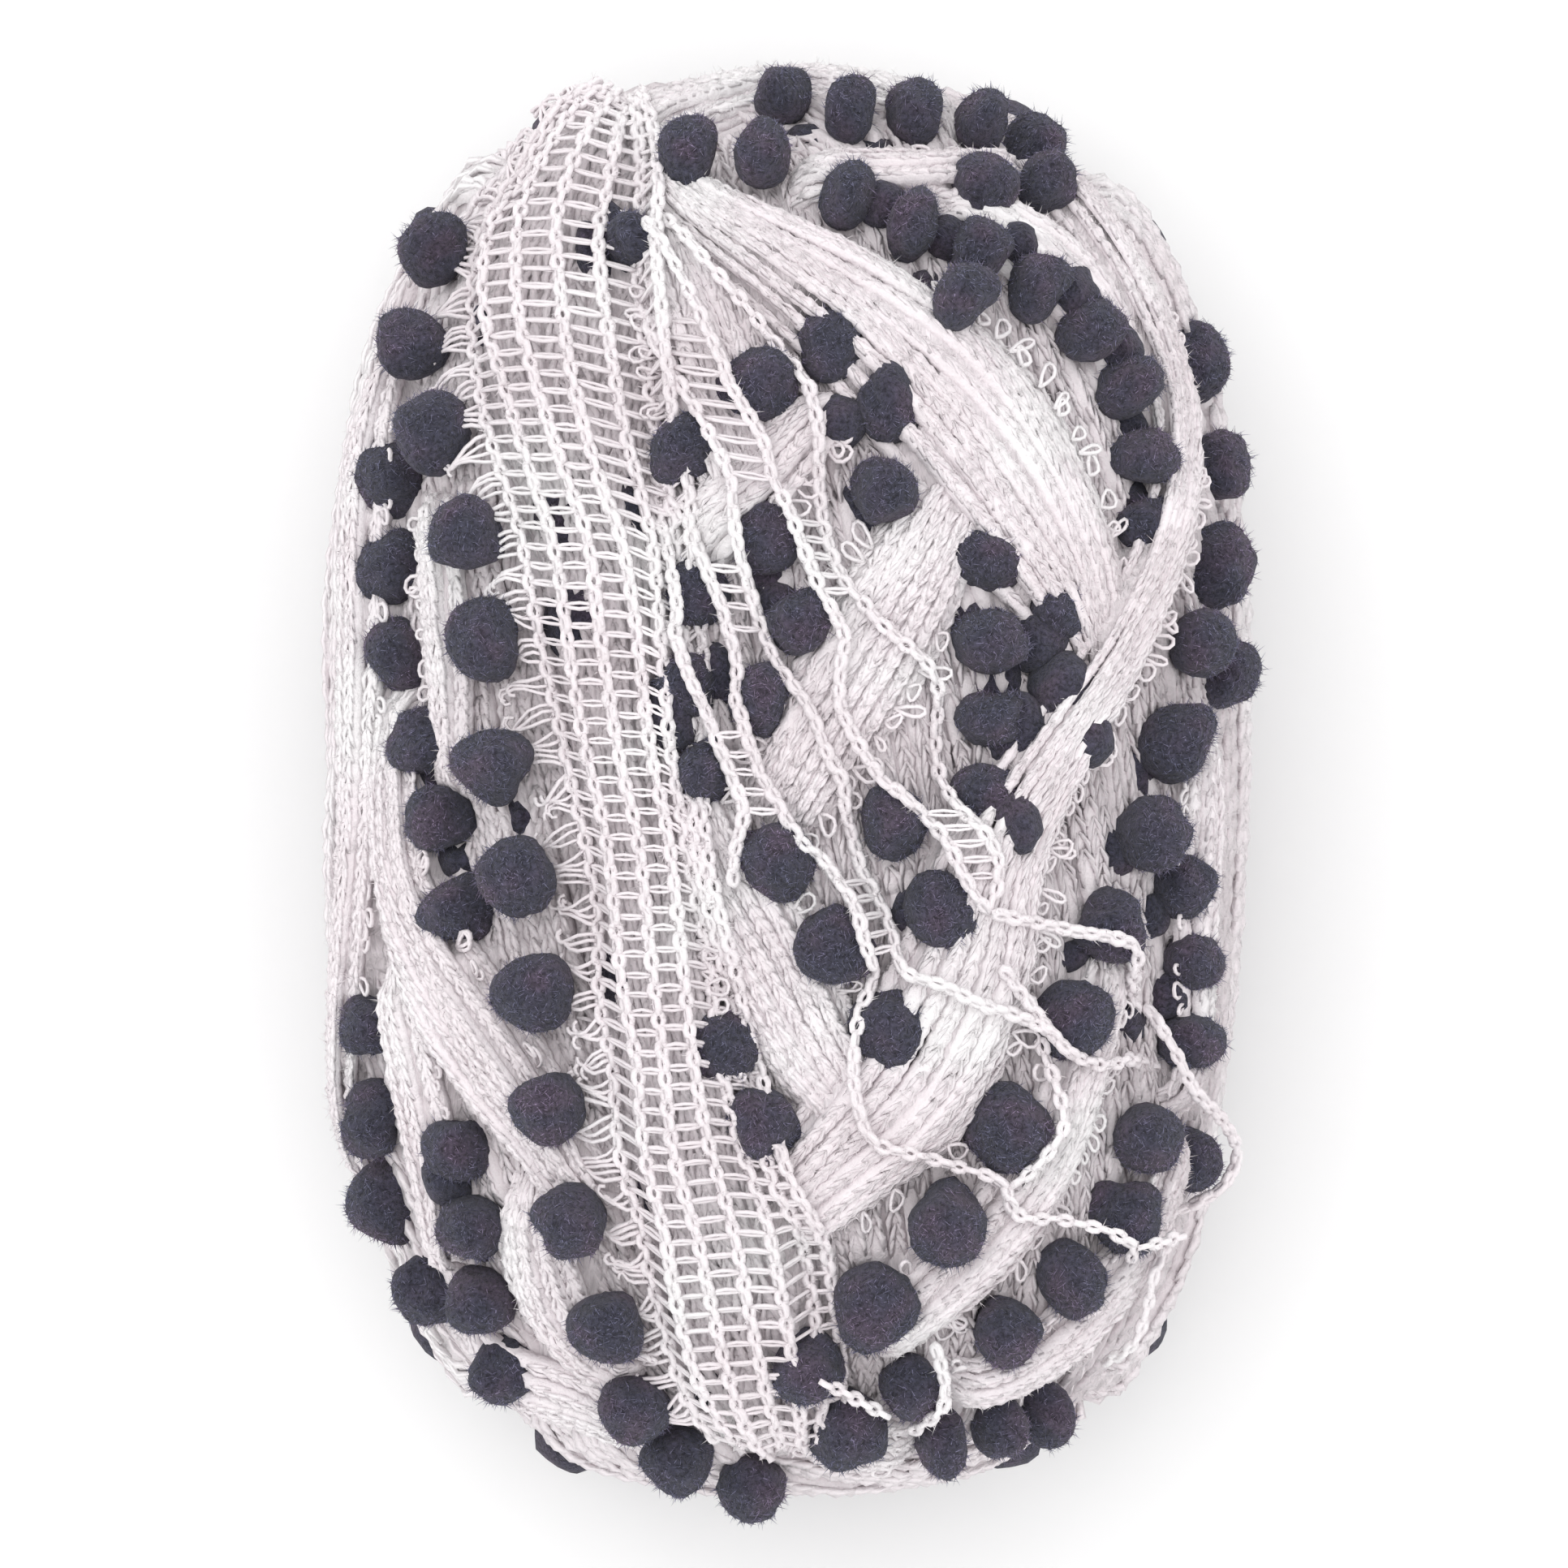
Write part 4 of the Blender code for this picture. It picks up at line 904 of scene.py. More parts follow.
def swept(paths, radii, ups, closed=False, sides=THREAD_SIDES):
    """Round threads: paths is (threads, stations, 3). The ends are closed, or each thread is a ring."""
    if closed:
        along = np.roll(paths, -1, axis=1) - np.roll(paths, 1, axis=1)
    else:
        along = np.gradient(paths, axis=1)
    along = unit(along + NEAR_ZERO)
    lateral = unit(np.cross(along, ups) + NEAR_ZERO)
    over = np.cross(lateral, along)
    cosines, sines = circle(sides, 0.5)
    ring = cosines * lateral[:, :, None] + sines * over[:, :, None]
    points = paths[:, :, None] + np.broadcast_to(radii, paths.shape[:2])[:, :, None, None] * ring
    index = np.arange(points.size // 3).reshape(points.shape[:3])
    beside = np.roll(index, -1, axis=2)
    walls = np.stack((index, np.roll(index, -1, axis=1), np.roll(beside, -1, axis=1), beside), -1)
    if closed:
        return points.reshape(-1, 3), walls.reshape(-1, 4)
    faces = [walls[:, :-1].reshape(-1, 4)]
    for corner in range(1, sides - 1, 2):
        fan = (0, corner, corner + 1, min(corner + 2, sides - 1))
        faces += [index[:, 0][:, fan], index[:, -1][:, fan[::-1]]]
    return points.reshape(-1, 3), np.vstack(faces)


def wale_places(columns, coarse):
    """Where a band's wales lie across it, from -1 to 1."""
    count = max(2, round(np.percentile(columns[:, 0], WIDTH_PERCENTILE) / WALE_PITCH / coarse))
    return ((np.arange(count) + 0.5) / count * 2 - 1)[:, None]


def on_wales(band, run, wales, drop):
    """Places on a band's wales: their directions and lifts, and the strand's half thickness and middle."""
    route, columns, runs = band
    across = wales + DRIFT * np.sin(run / DRIFT_LENGTH + wales * DRIFT_PHASE) / len(wales)
    _, lateral = ways_of(route)
    rows = read_at(run, runs, np.hstack((route, lateral, columns)))
    width, crest = rows[..., 6], rows[..., 7]
    directions = unit(rows[..., :3] + rows[..., 3:6] * (across * width / 2)[..., None])
    lifts = band_lift(band, run, across, crest)
    full = np.clip(STRAND_FULLNESS * width / len(wales), *STRAND_RADII)
    return directions, lifts, full, shell_points(directions, lifts - STRAND_SINK * full - drop)


def bare(directions, lifts, routes):
    """Which places of a band no other band hides."""
    heights, _ = band_heights(directions.reshape(-1, 3), routes)
    return lifts > heights.reshape(lifts.shape) - COVERED


def strands_of(band, routes, dice, knitting):
    """The wales of one packed band, each in short lengths of a beaded strand, where no band hides them."""
    coarse, drop, (low, high) = knitting
    _, columns, runs = band
    wales = wale_places(columns, coarse)
    length = STRAND_LENGTH * coarse
    starts = np.arange(-length, runs[-1], length)[:, None, None] + dice.uniform(0, length, wales.shape)
    stations = STRAND_STATIONS if coarse == 1 else COARSE_STATIONS
    run = starts + np.linspace(-STRAND_LAP, length + STRAND_LAP, stations)
    run = np.clip(run, PAST_END * run, runs[-1] + PAST_END * (run - runs[-1]))
    directions, lifts, full, middles = on_wales(band, run, wales, drop)
    inside = (run > 0) & (run < runs[-1])
    height = directions[..., 2].mean(2)
    keep = (bare(directions, lifts, routes) & inside).any(2) & (height > low) & (height < high)
    phases = dice.uniform(0, 2 * math.pi, wales.shape)
    beads = 1 + STRAND_BEADS * np.sin(2 * math.pi * run / STITCH_PITCH / coarse + phases)
    beads = beads + STRAND_UNEVEN * sum(np.sin(run * pace + phases * shift) for pace, shift in STRAND_WAVES)
    radii = (full * beads * np.where(inside, 1, PAST_END_TAPER))[keep]
    radii[:, [0, -1]] *= STRAND_TAPER
    return middles[keep], radii


def strand_mesh(bands, routes, dice, knitting):
    found = [strands_of(band, routes, dice, knitting) for band in bands]
    paths, radii = [np.vstack(some) for some in zip(*found)]
    return swept(paths, radii, unit(paths), sides=STRAND_SIDES if knitting.coarse == 1 else THREAD_SIDES)


def stitches_of(band, routes, balls, dice, knitting):
    """The stitches of one packed band, two legs each round a strand, where no band or pompom hides them."""
    coarse, drop, (low, high) = knitting
    _, columns, runs = band
    wales = wale_places(columns, coarse)
    pitch = STITCH_PITCH * coarse
    starts = np.arange(0, runs[-1] - pitch, pitch)[:, None] + dice.uniform(-1, 1, len(wales)) * pitch / 2
    starts = starts + dice.normal(0, LEG_UNEVEN, starts.shape)
    run = np.clip(starts[..., None] + LEG_STEPS * pitch, 0, runs[-1])
    directions, lifts, full, middles = on_wales(band, run, wales, drop)
    ahead = unit(middles[..., 2:, :] - middles[..., :1, :] + NEAR_ZERO)
    lateral = unit(np.cross(ahead, unit(middles)))
    over = np.cross(lateral, ahead)
    legs = []
    for sway in (-1, 1):
        turns = sway * LEG_TURNS + wales * EDGE_TILT + dice.normal(0, TURN_UNEVEN, run.shape)
        reach = full + LEG_LIFT + LEG_RISES + dice.normal(0, RISE_UNEVEN, (*starts.shape, 1))
        round_it = np.sin(turns)[..., None] * lateral + np.cos(turns)[..., None] * over
        legs.append(middles + reach[..., None] * round_it)
    own = lifts[..., 1].ravel()
    ways = directions[..., 1, :].reshape(-1, 3)
    keep = bare(ways, own, routes) & ~buried(shell_points(ways, own), balls)
    keep &= (ways[:, 2] > low) & (ways[:, 2] < high)
    return np.stack(legs, 2).reshape(-1, 2, 3, 3)[keep].reshape(-1, 3, 3)


def stitch_mesh(bands, routes, balls, dice, knitting):
    paths = np.vstack([stitches_of(band, routes, balls, dice, knitting) for band in bands])
    radii = knitting.coarse * LEG_RADIUS * dice.uniform(*LEG_RADII, (len(paths), 1)) * LEG_TAPER
    return swept(paths, radii, unit(paths), sides=LEG_SIDES)


def inner_routes():
    """Turns of ribbon under the outer bands, right round the ball and across its two ends."""
    routes = []
    for turn in range(INNER_TURNS):
        start = turn * 360 / INNER_TURNS
        ends = (start, start + INNER_SLANT, INNER_REACH, -INNER_REACH)
        points = winding_stations(Winding("inner", *ends, INNER_WIDTH, INNER_CREST))
        routes.append(band_route(points, (INNER_WIDTH, INNER_CREST)))
    for end in (-1, 1):
        for angle, crest, asides in CAP_LAYERS:
            sine, cosine = math.sin(angle * end), math.cos(angle * end)
            for aside in asides:
                half = math.sqrt(CAP_REACH**2 - aside**2)
                run = np.linspace(-half, half, WINDING_SPANS + 1)
                places = (run * cosine - aside * sine, (run * sine + aside * cosine) * CAP_FLATNESS)
                points = np.column_stack((places[0], np.full(len(run), end * CORE_HALF[1]), places[1]))
                routes.append(band_route(points, (INNER_WIDTH, crest)))
    return routes


def links_of(path, dice, width=LINK_WIDTH):
    """A chain's links, as rings round the path, each tilted the other way from the last."""
    runs = run_lengths(path)
    count = max(2, round(runs[-1] / LINK_PITCH))
    places = (np.arange(count) + 0.5) * runs[-1] / count
    rows = read_at(places, runs, np.hstack((path, np.gradient(path, runs, axis=0), unit(path))))
    middles, along = rows[:, :3], unit(rows[:, 3:6])
    lateral = unit(np.cross(along, rows[:, 6:]))
    over = np.cross(lateral, along)
    tilts = LINK_TILT * np.where(np.arange(count) % 2, 1, -1) + dice.normal(0, TILT_UNEVEN, count)
    side = np.cos(tilts)[:, None] * lateral + np.sin(tilts)[:, None] * over
    length = runs[-1] / count / LINK_PITCH * dice.uniform(*SMALL_SPREAD, (count, 1, 1))
    girth = width * dice.uniform(*WIDE_SPREAD, (count, 1, 1))
    cosines, sines = circle(LINK_CORNERS)
    rings = middles[:, None] + length * cosines * along[:, None] + girth * sines * side[:, None]
    threads = LINK_THREAD * dice.uniform(*SMALL_SPREAD, (count, 1))
    return swept(rings, threads, np.cross(along, side)[:, None], closed=True)


def draped(directions, reach_at, clearance):
    """The points of a thread that lies on what is highest under it and spans the hollows."""
    reach = reach_at(directions) + clearance
    level = reach
    for smoothed in (np.max, np.mean):
        padded = np.pad(level, DRAPE_SPAN // 2, mode="edge")
        level = np.array([smoothed(padded[i : i + DRAPE_SPAN]) for i in range(len(reach))])
    return directions * np.maximum(level, reach)[:, None]


def seen_directions(places):
    """Unit directions of a smooth line through places seen from above."""
    laid, runs = seen_route([(x, y, LINE_LIFT) for x, y in places])
    return unit(read_at(np.arange(0, runs[-1], LINE_STEP), runs, laid))


def net_wales(routes):
    """The wales of the open net, each as points on its top."""
    rows = smooth_rows(np.array(NET_WALES, float))
    for share in NET_BUNCHED:
        rows = np.hstack((rows, rows[:, -1:] + share * (rows[:, -1:] - rows[:, -2:-1])))
    rows = rows[np.abs(rows[:, 0]) < NET_END][::NET_SKIP]
    lines = [seen_directions(rows[:, (column, 0)]) for column in range(1, rows.shape[1])]
    return [draped(line, lambda ways: ribbon_reach(ways, routes), NET_LIFT) for line in lines]


def rungs_between(first, second, dice):
    """Pairs of bowed threads from one chain to the next."""
    runs_a, runs_b = run_lengths(first), run_lengths(second)
    count = round((runs_a[-1] + runs_b[-1]) / 2 / RUNG_PITCH)
    share = (np.arange(count) + 0.5) / count
    starts = read_at(share * runs_a[-1], runs_a, first)
    ends = read_at(share * runs_b[-1], runs_b, second)
    t = np.linspace(0, 1, RUNG_STATIONS)[:, None]
    paths = []
    for start, end in zip(starts, ends):
        toward = end - start
        if np.linalg.norm(toward) < 2 * LINK_WIDTH:
            continue
        over = unit(start + end)
        beside = unit(np.cross(over, toward))
        sag = dice.uniform(*RUNG_SAG)
        for sway in (-1, 1):
            bow = sway * RUNG_BOW * dice.uniform(*RUNG_BOWS) + sag * dice.uniform(*RUNG_SAGS)
            swing = beside * bow + over * dice.uniform(*RUNG_RISE)
            paths.append(start + toward * t + swing * np.sin(math.pi * t))
    return np.array(paths)


def thread_mesh(paths, radius, dice):
    return swept(paths, radius * dice.uniform(*WIDE_SPREAD, (len(paths), 1)), unit(paths))


def fringe_of(edge, routes, balls, dice):
    """The hooks at the net's pompom edge, in bunches that lean together, and curls between the pompoms."""
    runs = run_lengths(edge)
    starts = np.arange(0, runs[-1], HOOK_PITCH)
    base = read_at(starts, runs, edge)
    over = unit(base)
    along = unit(read_at(starts, runs, np.gradient(edge, runs, axis=0)))
    outward = unit(np.cross(along, over))
    straight = np.linspace(0, 1, LOOP_STATIONS - HOOK_STATIONS)[:, None]
    paths = []
    curls = []
    index = 0
    while index < len(starts) - HOOK_STATIONS:
        bunch = int(dice.integers(*HOOK_BUNCH))
        members = np.arange(index, min(index + bunch, len(starts)))
        reach = dice.uniform(*HOOK_REACH)
        lean = dice.uniform(*HOOK_LEAN)
        for member in members:
            way, ahead, up = outward[member], along[member], over[member]
            gathered = (members.mean() - member) * HOOK_PITCH * HOOK_GATHER
            length = reach * dice.uniform(*HOOK_LENGTHS)
            waves = HOOK_SWAY * np.sin(straight * HOOK_WAVES + member)
            sway = ahead * ((gathered + lean) * straight + waves)
            arch = up * HOOK_ARCH * np.sin(math.pi * straight)
            stem = base[member] + way * length * straight + sway + arch
            turn = np.linspace(HOOK_START, dice.uniform(*HOOK_TURN), HOOK_STATIONS)[:, None]
            turn = turn * math.pi * dice.choice((-1, 1))
            hook = way * np.sin(np.abs(turn)) + ahead * np.sign(turn) * (1 - np.cos(turn))
            paths.append(np.vstack((stem, stem[-1] + HOOK_RADIUS * hook + up * HOOK_LIFT)))
        leaning = along[members[-1]] * lean
        way = outward[members].mean(0) * (reach + CURL_STAND)
        toward = unit(base[members].mean(0) + way + leaning)
        level = ribbon_reach(toward[None], routes)[0]
        if reach_of(toward[None], balls)[0] < level and dice.random() < CURL_SHARE:
            curls.append((toward * (level + CURL_STAND), unit(np.cross(toward, outward[index])), toward))
        index += bunch
    return np.array(paths), curls


def curl_mesh(curls, dice):
    """Small round curls of thread."""
    cosines, sines = circle(LINK_CORNERS)
    rings = []
    normals = []
    for middle, across, over in curls:
        other = np.cross(across, over)
        size = CURL_RADIUS * dice.uniform(*CURL_RADII)
        lean = over + CURL_LEAN * across * dice.normal(0, 1) + CURL_LEAN * other * dice.normal(0, 1)
        lean = unit(lean)
        one = unit(np.cross(lean, across))
        rings.append(middle + size * (cosines * one + sines * np.cross(lean, one)))
        normals.append(lean[None])
    return swept(np.array(rings), LOOP_RADIUS * CURL_THREAD, np.array(normals), closed=True)


def edge_loops(band, side, start, end, balls, dice):
    """Small open loops that stand off a band's edge between two shares of its length."""
    route, columns, runs = band
    places = np.arange(start * runs[-1], end * runs[-1], LOOP_PITCH)
    places = places + dice.uniform(*LOOP_SHIFT, len(places))
    t = np.linspace(0, 1, LOOP_STATIONS)[:, None]
    swing = np.sin(math.pi * t)
    paths = []
    for row in read_at(places, runs, np.hstack((route, *ways_of(route), columns))):
        middle, ahead, out = row[:3], row[3:6], row[6:9] * side
        width, crest = row[9:]
        rim = middle + out * width / 2 * LOOP_ROOT
        rim = shell_points(unit(rim), crest * LOOP_ROOT_LIFT)
        length = dice.uniform(*LOOP_LENGTH)
        breadth = dice.uniform(*LOOP_BREADTH)
        lean = dice.uniform(*LOOP_LEAN)
        loop = rim + out * length * swing + ahead * (breadth * np.sin(2 * math.pi * t) + lean * swing)
        paths.append(loop + unit(rim) * dice.uniform(*LOOP_RISE) * swing)
    paths = np.array(paths)
    middles = paths[:, LOOP_STATIONS // 2]
    return paths[reach_of(unit(middles), balls) < np.linalg.norm(middles, axis=1)]


def ball_template(subdivisions):
    """Unit directions and triangles of an even ball."""
    bm = bmesh.new()
    bmesh.ops.create_icosphere(bm, subdivisions=subdivisions, radius=1.0)
    points = np.array([vertex.co for vertex in bm.verts])
    faces = np.array([[vertex.index for vertex in face.verts] for face in bm.faces])
    bm.free()
    return unit(points), faces


def felt_balls(balls, subdivisions, dice):
    """Pompoms as lumpy, slightly bent beans along their rows."""
    template, corners = ball_template(subdivisions)
    squared = (np.abs(template) ** BEAD_SQUARENESS).sum(1) ** (-1 / BEAD_SQUARENESS)
    parts = []
    for ball in balls:
        lateral = unit(np.cross(ball.ahead, unit(ball.middle)))
        over = np.cross(lateral, ball.ahead)
        waves = dice.normal(0, 1, (FELT_LUMPS, 3)) * dice.uniform(*FELT_LUMP_WAVES, (FELT_LUMPS, 1))
        phases = dice.uniform(0, 2 * math.pi, FELT_LUMPS)
        strength = dice.uniform(*FELT_LUMP_SHARES, FELT_LUMPS) / (1 + np.linalg.norm(waves, axis=1))
        lumps = (strength * np.cos(template @ waves.T + phases)).sum(1)
        lumps = FELT_LUMP_DEPTH * (lumps - lumps.mean())
        reach = squared * (1 + lumps + dice.normal(0, FELT_ROUGHNESS, len(template)))
        width, length = felt_size(ball)
        sizes = np.array((width, length, width)) * dice.uniform(SMALLEST_SHARES, LARGEST_SHARES)
        shape = template * reach[:, None] * sizes
        bend = dice.uniform(-BEAD_BEND, BEAD_BEND, 2) * ball.radius
        shape[:, [0, 2]] += (template[:, 1:2] ** 2 - BEND_CENTRE) * bend
        parts.append((ball.middle + shape @ np.array((lateral, ball.ahead, over)), corners))
    return merged(parts)


def hairs_on(shape, count, length, stand, dice):
    """Fine hairs, as slender closed spikes that stand or lie on the faces that look outward."""
    points, faces = shape
    corners = points[faces[:, :3]]
    normals = np.cross(corners[:, 1] - corners[:, 0], corners[:, 2] - corners[:, 0])
    facing = (unit(normals + NO_AREA) * unit(corners.mean(1))).sum(1)
    weights = np.linalg.norm(normals, axis=1) * np.clip(facing + HAIR_FACING, 0, 1)
    chosen = dice.choice(len(faces), count, p=weights / weights.sum())
    mix = dice.dirichlet((1, 1, 1), count)
    roots = (corners[chosen] * mix[..., None]).sum(1)
    stray = unit(dice.normal(0, 1, (count, 3))) * (HAIR_STRAY - stand)
    way = unit(unit(normals[chosen]) * stand + stray)
    one = unit(np.cross(way, dice.normal(0, 1, (count, 3))))
    cosines, sines = circle(3)
    around = cosines * one[:, None] + sines * np.cross(way, one)[:, None]
    base = (roots - way * HAIR_ROOT)[:, None] + HAIR_WIDTH * around
    tips = roots + way * length * dice.uniform(*HAIR_LENGTHS, (count, 1))
    hairs = np.concatenate((base, tips[:, None]), axis=1).reshape(-1, 3)
    pattern = np.array(((0, 2, 1), (0, 1, 3), (1, 2, 3), (2, 0, 3)))
    return hairs, (np.arange(count)[:, None, None] * 4 + pattern).reshape(-1, 3)


def wound_surface(routes, balls):
    """The ribbon's mass under its strands, pressed in by the pompoms."""
    directions, faces = ball_template(SURFACE_SUBDIVISIONS)
    heights, in_net = band_heights(directions, routes)
    lift = heights - SURFACE_DEPTH - (SURFACE_NET_DEPTH - SURFACE_DEPTH) * in_net
    reach = np.linalg.norm(shell_points(directions, lift), axis=1)
    for ball in balls:
        met, toward, half = crossings(directions, ball, SURFACE_HOLLOW)
        reach[met] = np.minimum(reach[met], toward - half)
    return directions * reach[:, None], faces


def set_sockets(node, values):
    for socket, value in values.items():
        node.inputs[socket].default_value = value


def new_material(name):
    made = bpy.data.materials.new(name)
    made.use_nodes = True
    return made, made.node_tree.nodes, made.node_tree.links, made.node_tree.nodes["Principled BSDF"]


def noise_node(nodes, links, place, values):
    noise = nodes.new("ShaderNodeTexNoise")
    set_sockets(noise, values)
    links.new(place, noise.inputs["Vector"])
    return noise.outputs["Fac"]


def ramp_node(nodes, links, value, stops):
    ramp = nodes.new("ShaderNodeValToRGB")
    links.new(value, ramp.inputs["Fac"])
    elements = ramp.color_ramp.elements
    elements[0].position, elements[0].color = stops[0]
    elements[1].position, elements[1].color = stops[-1]
    for place, colour in stops[1:-1]:
        elements.new(place).color = colour
    return ramp.outputs["Color"]


def linear(colour):
    """A colour of the scene from its 8-bit screen values."""
    values = [channel / 255 for channel in colour]
    return tuple(v / 12.92 if v <= 0.04045 else ((v + 0.055) / 1.055) ** 2.4 for v in values) + (1.0,)


def woolly_material(name, tints, wool):
    """Matte wool: tinted patches, and a grain of curly fibres in its bump and in its brightness, partly
    painted fibre shade.
    """
    made, nodes, links, shader = new_material(name)
    stretched = nodes.new("ShaderNodeMapping")
    set_sockets(stretched, {"Scale": (1.0, wool.lengthwise, 1.0)})
    links.new(nodes.new("ShaderNodeTexCoord").outputs["Object"], stretched.inputs["Vector"])
    place = stretched.outputs["Vector"]
    patches = noise_node(nodes, links, place, {"Scale": wool.patch_scale, **PATCH_NOISE})
    curled = {"Scale": wool.grain_scale, "Distortion": wool.curl, **GRAIN_NOISE}
    grain = noise_node(nodes, links, place, curled)
    tint = ramp_node(nodes, links, patches, [(stop, linear(colour)) for stop, colour in tints])
    greys = [(grey, grey, grey, 1) for grey in (wool.dark, wool.light)]
    # Painted shade: the grain's dark flecks stand in for shade between the fibres; its light flecks are the
    # fibres' own paler strands
    fibre_flecks_and_shade = ramp_node(nodes, links, grain, list(zip(GRAIN_STOPS, greys)))
    mixed = nodes.new("ShaderNodeMix")
    mixed.data_type = "RGBA"
    mixed.blend_type = "MULTIPLY"
    set_sockets(mixed, {"Factor": 1.0})
    links.new(tint, mixed.inputs["A"])
    links.new(fibre_flecks_and_shade, mixed.inputs["B"])
    links.new(mixed.outputs["Result"], shader.inputs["Base Color"])
    height = nodes.new("ShaderNodeBump")
    set_sockets(height, {"Strength": wool.bump, "Distance": GRAIN_DEPTH})
    links.new(grain, height.inputs["Height"])
    links.new(height.outputs["Normal"], shader.inputs["Normal"])
    set_sockets(shader, {"Roughness": WOOL_ROUGHNESS, "Specular IOR Level": WOOL_SPECULAR})
    set_sockets(shader, {"Sheen Weight": wool.sheen, "Sheen Roughness": SHEEN_ROUGHNESS})
    return made


def studio():
    """A pale floor, a soft even sky, one large soft light, and the camera straight above."""
    scene = bpy.context.scene
    scene.view_settings.view_transform = "Standard"
    bm = bmesh.new()
    bmesh.ops.create_circle(bm, cap_ends=True, radius=FLOOR_RADIUS, segments=FLOOR_CORNERS)
    floor_mesh = bpy.data.meshes.new("floor")
    bm.to_mesh(floor_mesh)
    bm.free()
    floor = linked("floor", floor_mesh)
    made, _, _, shader = new_material("floor")
    set_sockets(shader, {"Base Color": FLOOR_COLOUR, "Roughness": FLOOR_ROUGHNESS})
    floor_mesh.materials.append(made)
    world = bpy.data.worlds.new("sky")
    world.use_nodes = True
    set_sockets(world.node_tree.nodes["Background"], {"Color": SKY_COLOUR, "Strength": SKY_STRENGTH})
    scene.world = world
    lamp = bpy.data.lights.new("key", "SUN")
    lamp.energy = SUN_STRENGTH
    lamp.angle = SUN_ANGLE
    linked("key", lamp).rotation_euler = SUN_TILT
    view = bpy.data.cameras.new("camera")
    view.sensor_width = SENSOR_WIDTH
    view.lens = SENSOR_WIDTH * (CAMERA_PLACE[2] - FOCUS_HEIGHT) / VIEW_WIDTH
    view.clip_end = VIEW_REACH
    scene.camera = linked("camera", view)
    scene.camera.location = CAMERA_PLACE


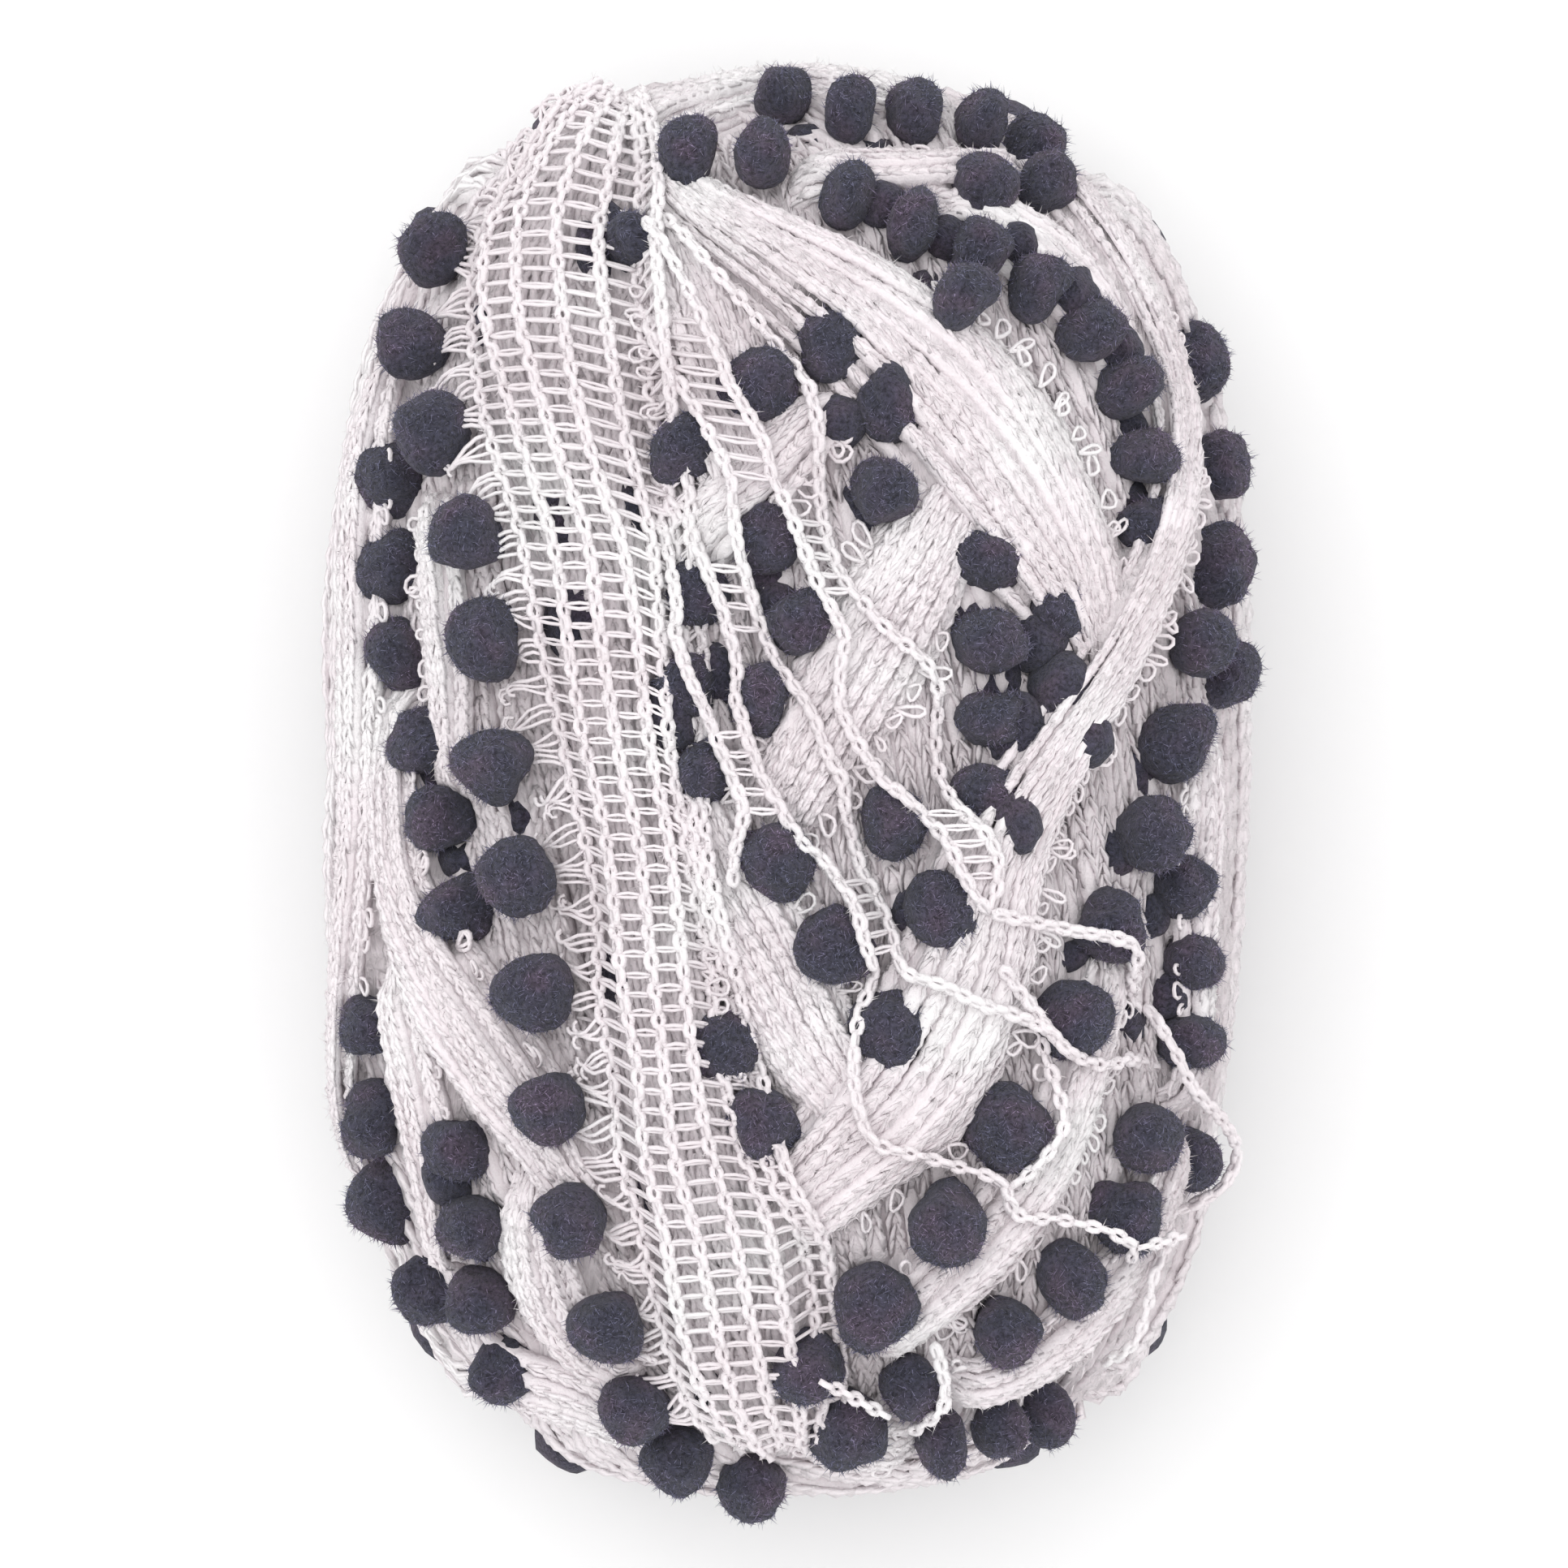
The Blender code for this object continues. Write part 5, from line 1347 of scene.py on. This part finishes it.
def main():
    dice = np.random.default_rng(DICE_SEED)
    routes = band_routes()
    balls = all_balls()
    studio()
    white = woolly_material("white_yarn", WHITE_TINTS, YARN)
    # Painted shade: the inner turns' strands and stitches and the wound mass take darker tints of the same
    # white yarn
    deep = woolly_material("white_yarn_painted_shade", PAINTED_SHADE_TINTS, YARN)
    mass = woolly_material("white_yarn_mass_painted_shade", PAINTED_SHADE_TINTS, MASS)
    felt = woolly_material("charcoal_felt", FELT_TINTS, FELT)
    loose_felt = woolly_material("charcoal_felt_hairs", FELT_TINTS, LOOSE_FELT)

    def reach_at(directions):
        return np.maximum(ribbon_reach(directions, routes), reach_of(directions, balls))

    # The wound mass's darker tint is painted shade under the strands
    surface = made_mesh("wound_mass", wound_surface(routes, balls), mass)
    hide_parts("wound_ribbon")

    # Packed knitting, as strands and the stitches round them, with the inner turns' pompoms between
    seen = [route for number, route in enumerate(routes[: len(BANDS)]) if number != NET_BAND]
    inner = inner_routes()
    in_gaps = inner_balls(GAP_POMPOMS, GAP_DEPTH, routes)
    solid = balls + in_gaps
    knitted = []
    for name, bands, yarn, knitting in (
        ("seen", seen, white, Knitting()),
        ("hidden", routes[len(BANDS) :], white, Knitting(HIDDEN_COARSENESS)),
        ("inner_top", inner, deep, Knitting(TOP_COARSENESS, 0.0, TOP)),
        ("inner_sides", inner, deep, Knitting(SIDE_COARSENESS, 0.0, SIDES)),
        ("under_net", [routes[NET_BAND]], white, Knitting(FLOOR_COARSENESS, NET_FLOOR_DEPTH)),
    ):
        made_mesh("strands_" + name, strand_mesh(bands, routes, dice, knitting), yarn)
        knitted.append(stitch_mesh(bands, routes, solid, dice, knitting))
        made_mesh("knit_" + name, knitted[-1], yarn)
    underneath = strand_mesh(inner, routes, dice, Knitting(SIDE_COARSENESS, 0.0, UNDERSIDE))
    made_mesh("strands_inner_underside", underneath, deep)
    under_net = felt_balls(inner_balls(NET_SHADOWS, NET_SHADOW_DEPTH, routes), HIDDEN_SUBDIVISIONS, dice)
    made_mesh("pompoms_under_net", under_net, felt)
    made_mesh("pompoms_in_gaps", felt_balls(in_gaps, HIDDEN_SUBDIVISIONS, dice), felt)

    # The open net, and the loops at the edges of the bands
    wales = net_wales(routes)
    wale_links = merged([links_of(wale, dice) for wale in wales])
    made_mesh("net_wales", wale_links, white)
    rungs = [rungs_between(a, b, dice) for a, b in zip(wales, wales[1:])]
    made_mesh("net_rungs", thread_mesh(np.vstack(rungs), RUNG_RADIUS, dice), white)
    fringe, curls = fringe_of(wales[0], routes, balls, dice)
    loops = [thread_mesh(fringe, LOOP_RADIUS, dice), curl_mesh(curls, dice)]
    named = {band.name: route for band, route in zip(BANDS, routes)}
    for band, side, start, end in EDGE_LOOPS:
        found = edge_loops(named[band], side, start, end, balls, dice)
        loops.append(thread_mesh(found, LOOP_RADIUS, dice))
    made_mesh("edge_loops", merged(loops), white)

    # The chains that have slipped loose
    chains = {}
    for name, places in LOOSE_CHAINS.items():
        chains[name] = draped(seen_directions(places), reach_at, CHAIN_CLEARANCE)
    chain_links = merged([links_of(chain, dice, CHAIN_WIDTH) for chain in chains.values()])
    made_mesh("loose_chains", chain_links, white)
    ladders = []
    for first, second, low, high in LADDERS:
        pair = [chains[name] for name in (first, second)]
        one, two = [chain[(chain[:, 1] > low) & (chain[:, 1] < high)] for chain in pair]
        ladders.append(rungs_between(one, two, dice))
    made_mesh("chain_rungs", thread_mesh(np.vstack(ladders), RUNG_RADIUS, dice), white)
    slack = []
    for chain in CHAINS:
        laid, runs = seen_route(chain.stations)
        slack.append(links_of(read_at(np.arange(0, runs[-1], SLACK_STEP), runs, laid), dice, SLACK_WIDTH))
    slack_piece = made_mesh("slack_loops", merged(slack), white)
    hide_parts(*[chain.name for chain in CHAINS])

    # The pompoms of the rows, and the hairs of felt and yarn
    front = felt_balls([ball for ball in balls if ball.seen], SEEN_SUBDIVISIONS, dice)
    front_piece = made_mesh("pompoms_seen", front, felt)
    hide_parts(*[row.name for row in ROWS])
    back = felt_balls([ball for ball in balls if not ball.seen], HIDDEN_SUBDIVISIONS, dice)
    back_piece = made_mesh("pompoms_hidden", back, felt)
    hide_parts(*[row.name for row in BACK_ROWS])
    hairs = hairs_on(front, FELT_HAIRS, FELT_HAIR_LENGTH, FELT_HAIR_STAND, dice)
    made_mesh("felt_hairs", hairs, loose_felt)
    threads = merged((knitted[0], wale_links, chain_links))
    fuzz = hairs_on(threads, YARN_HAIRS, YARN_HAIR_LENGTH, YARN_HAIR_STAND, dice)
    made_mesh("yarn_fuzz", fuzz, white)


main()
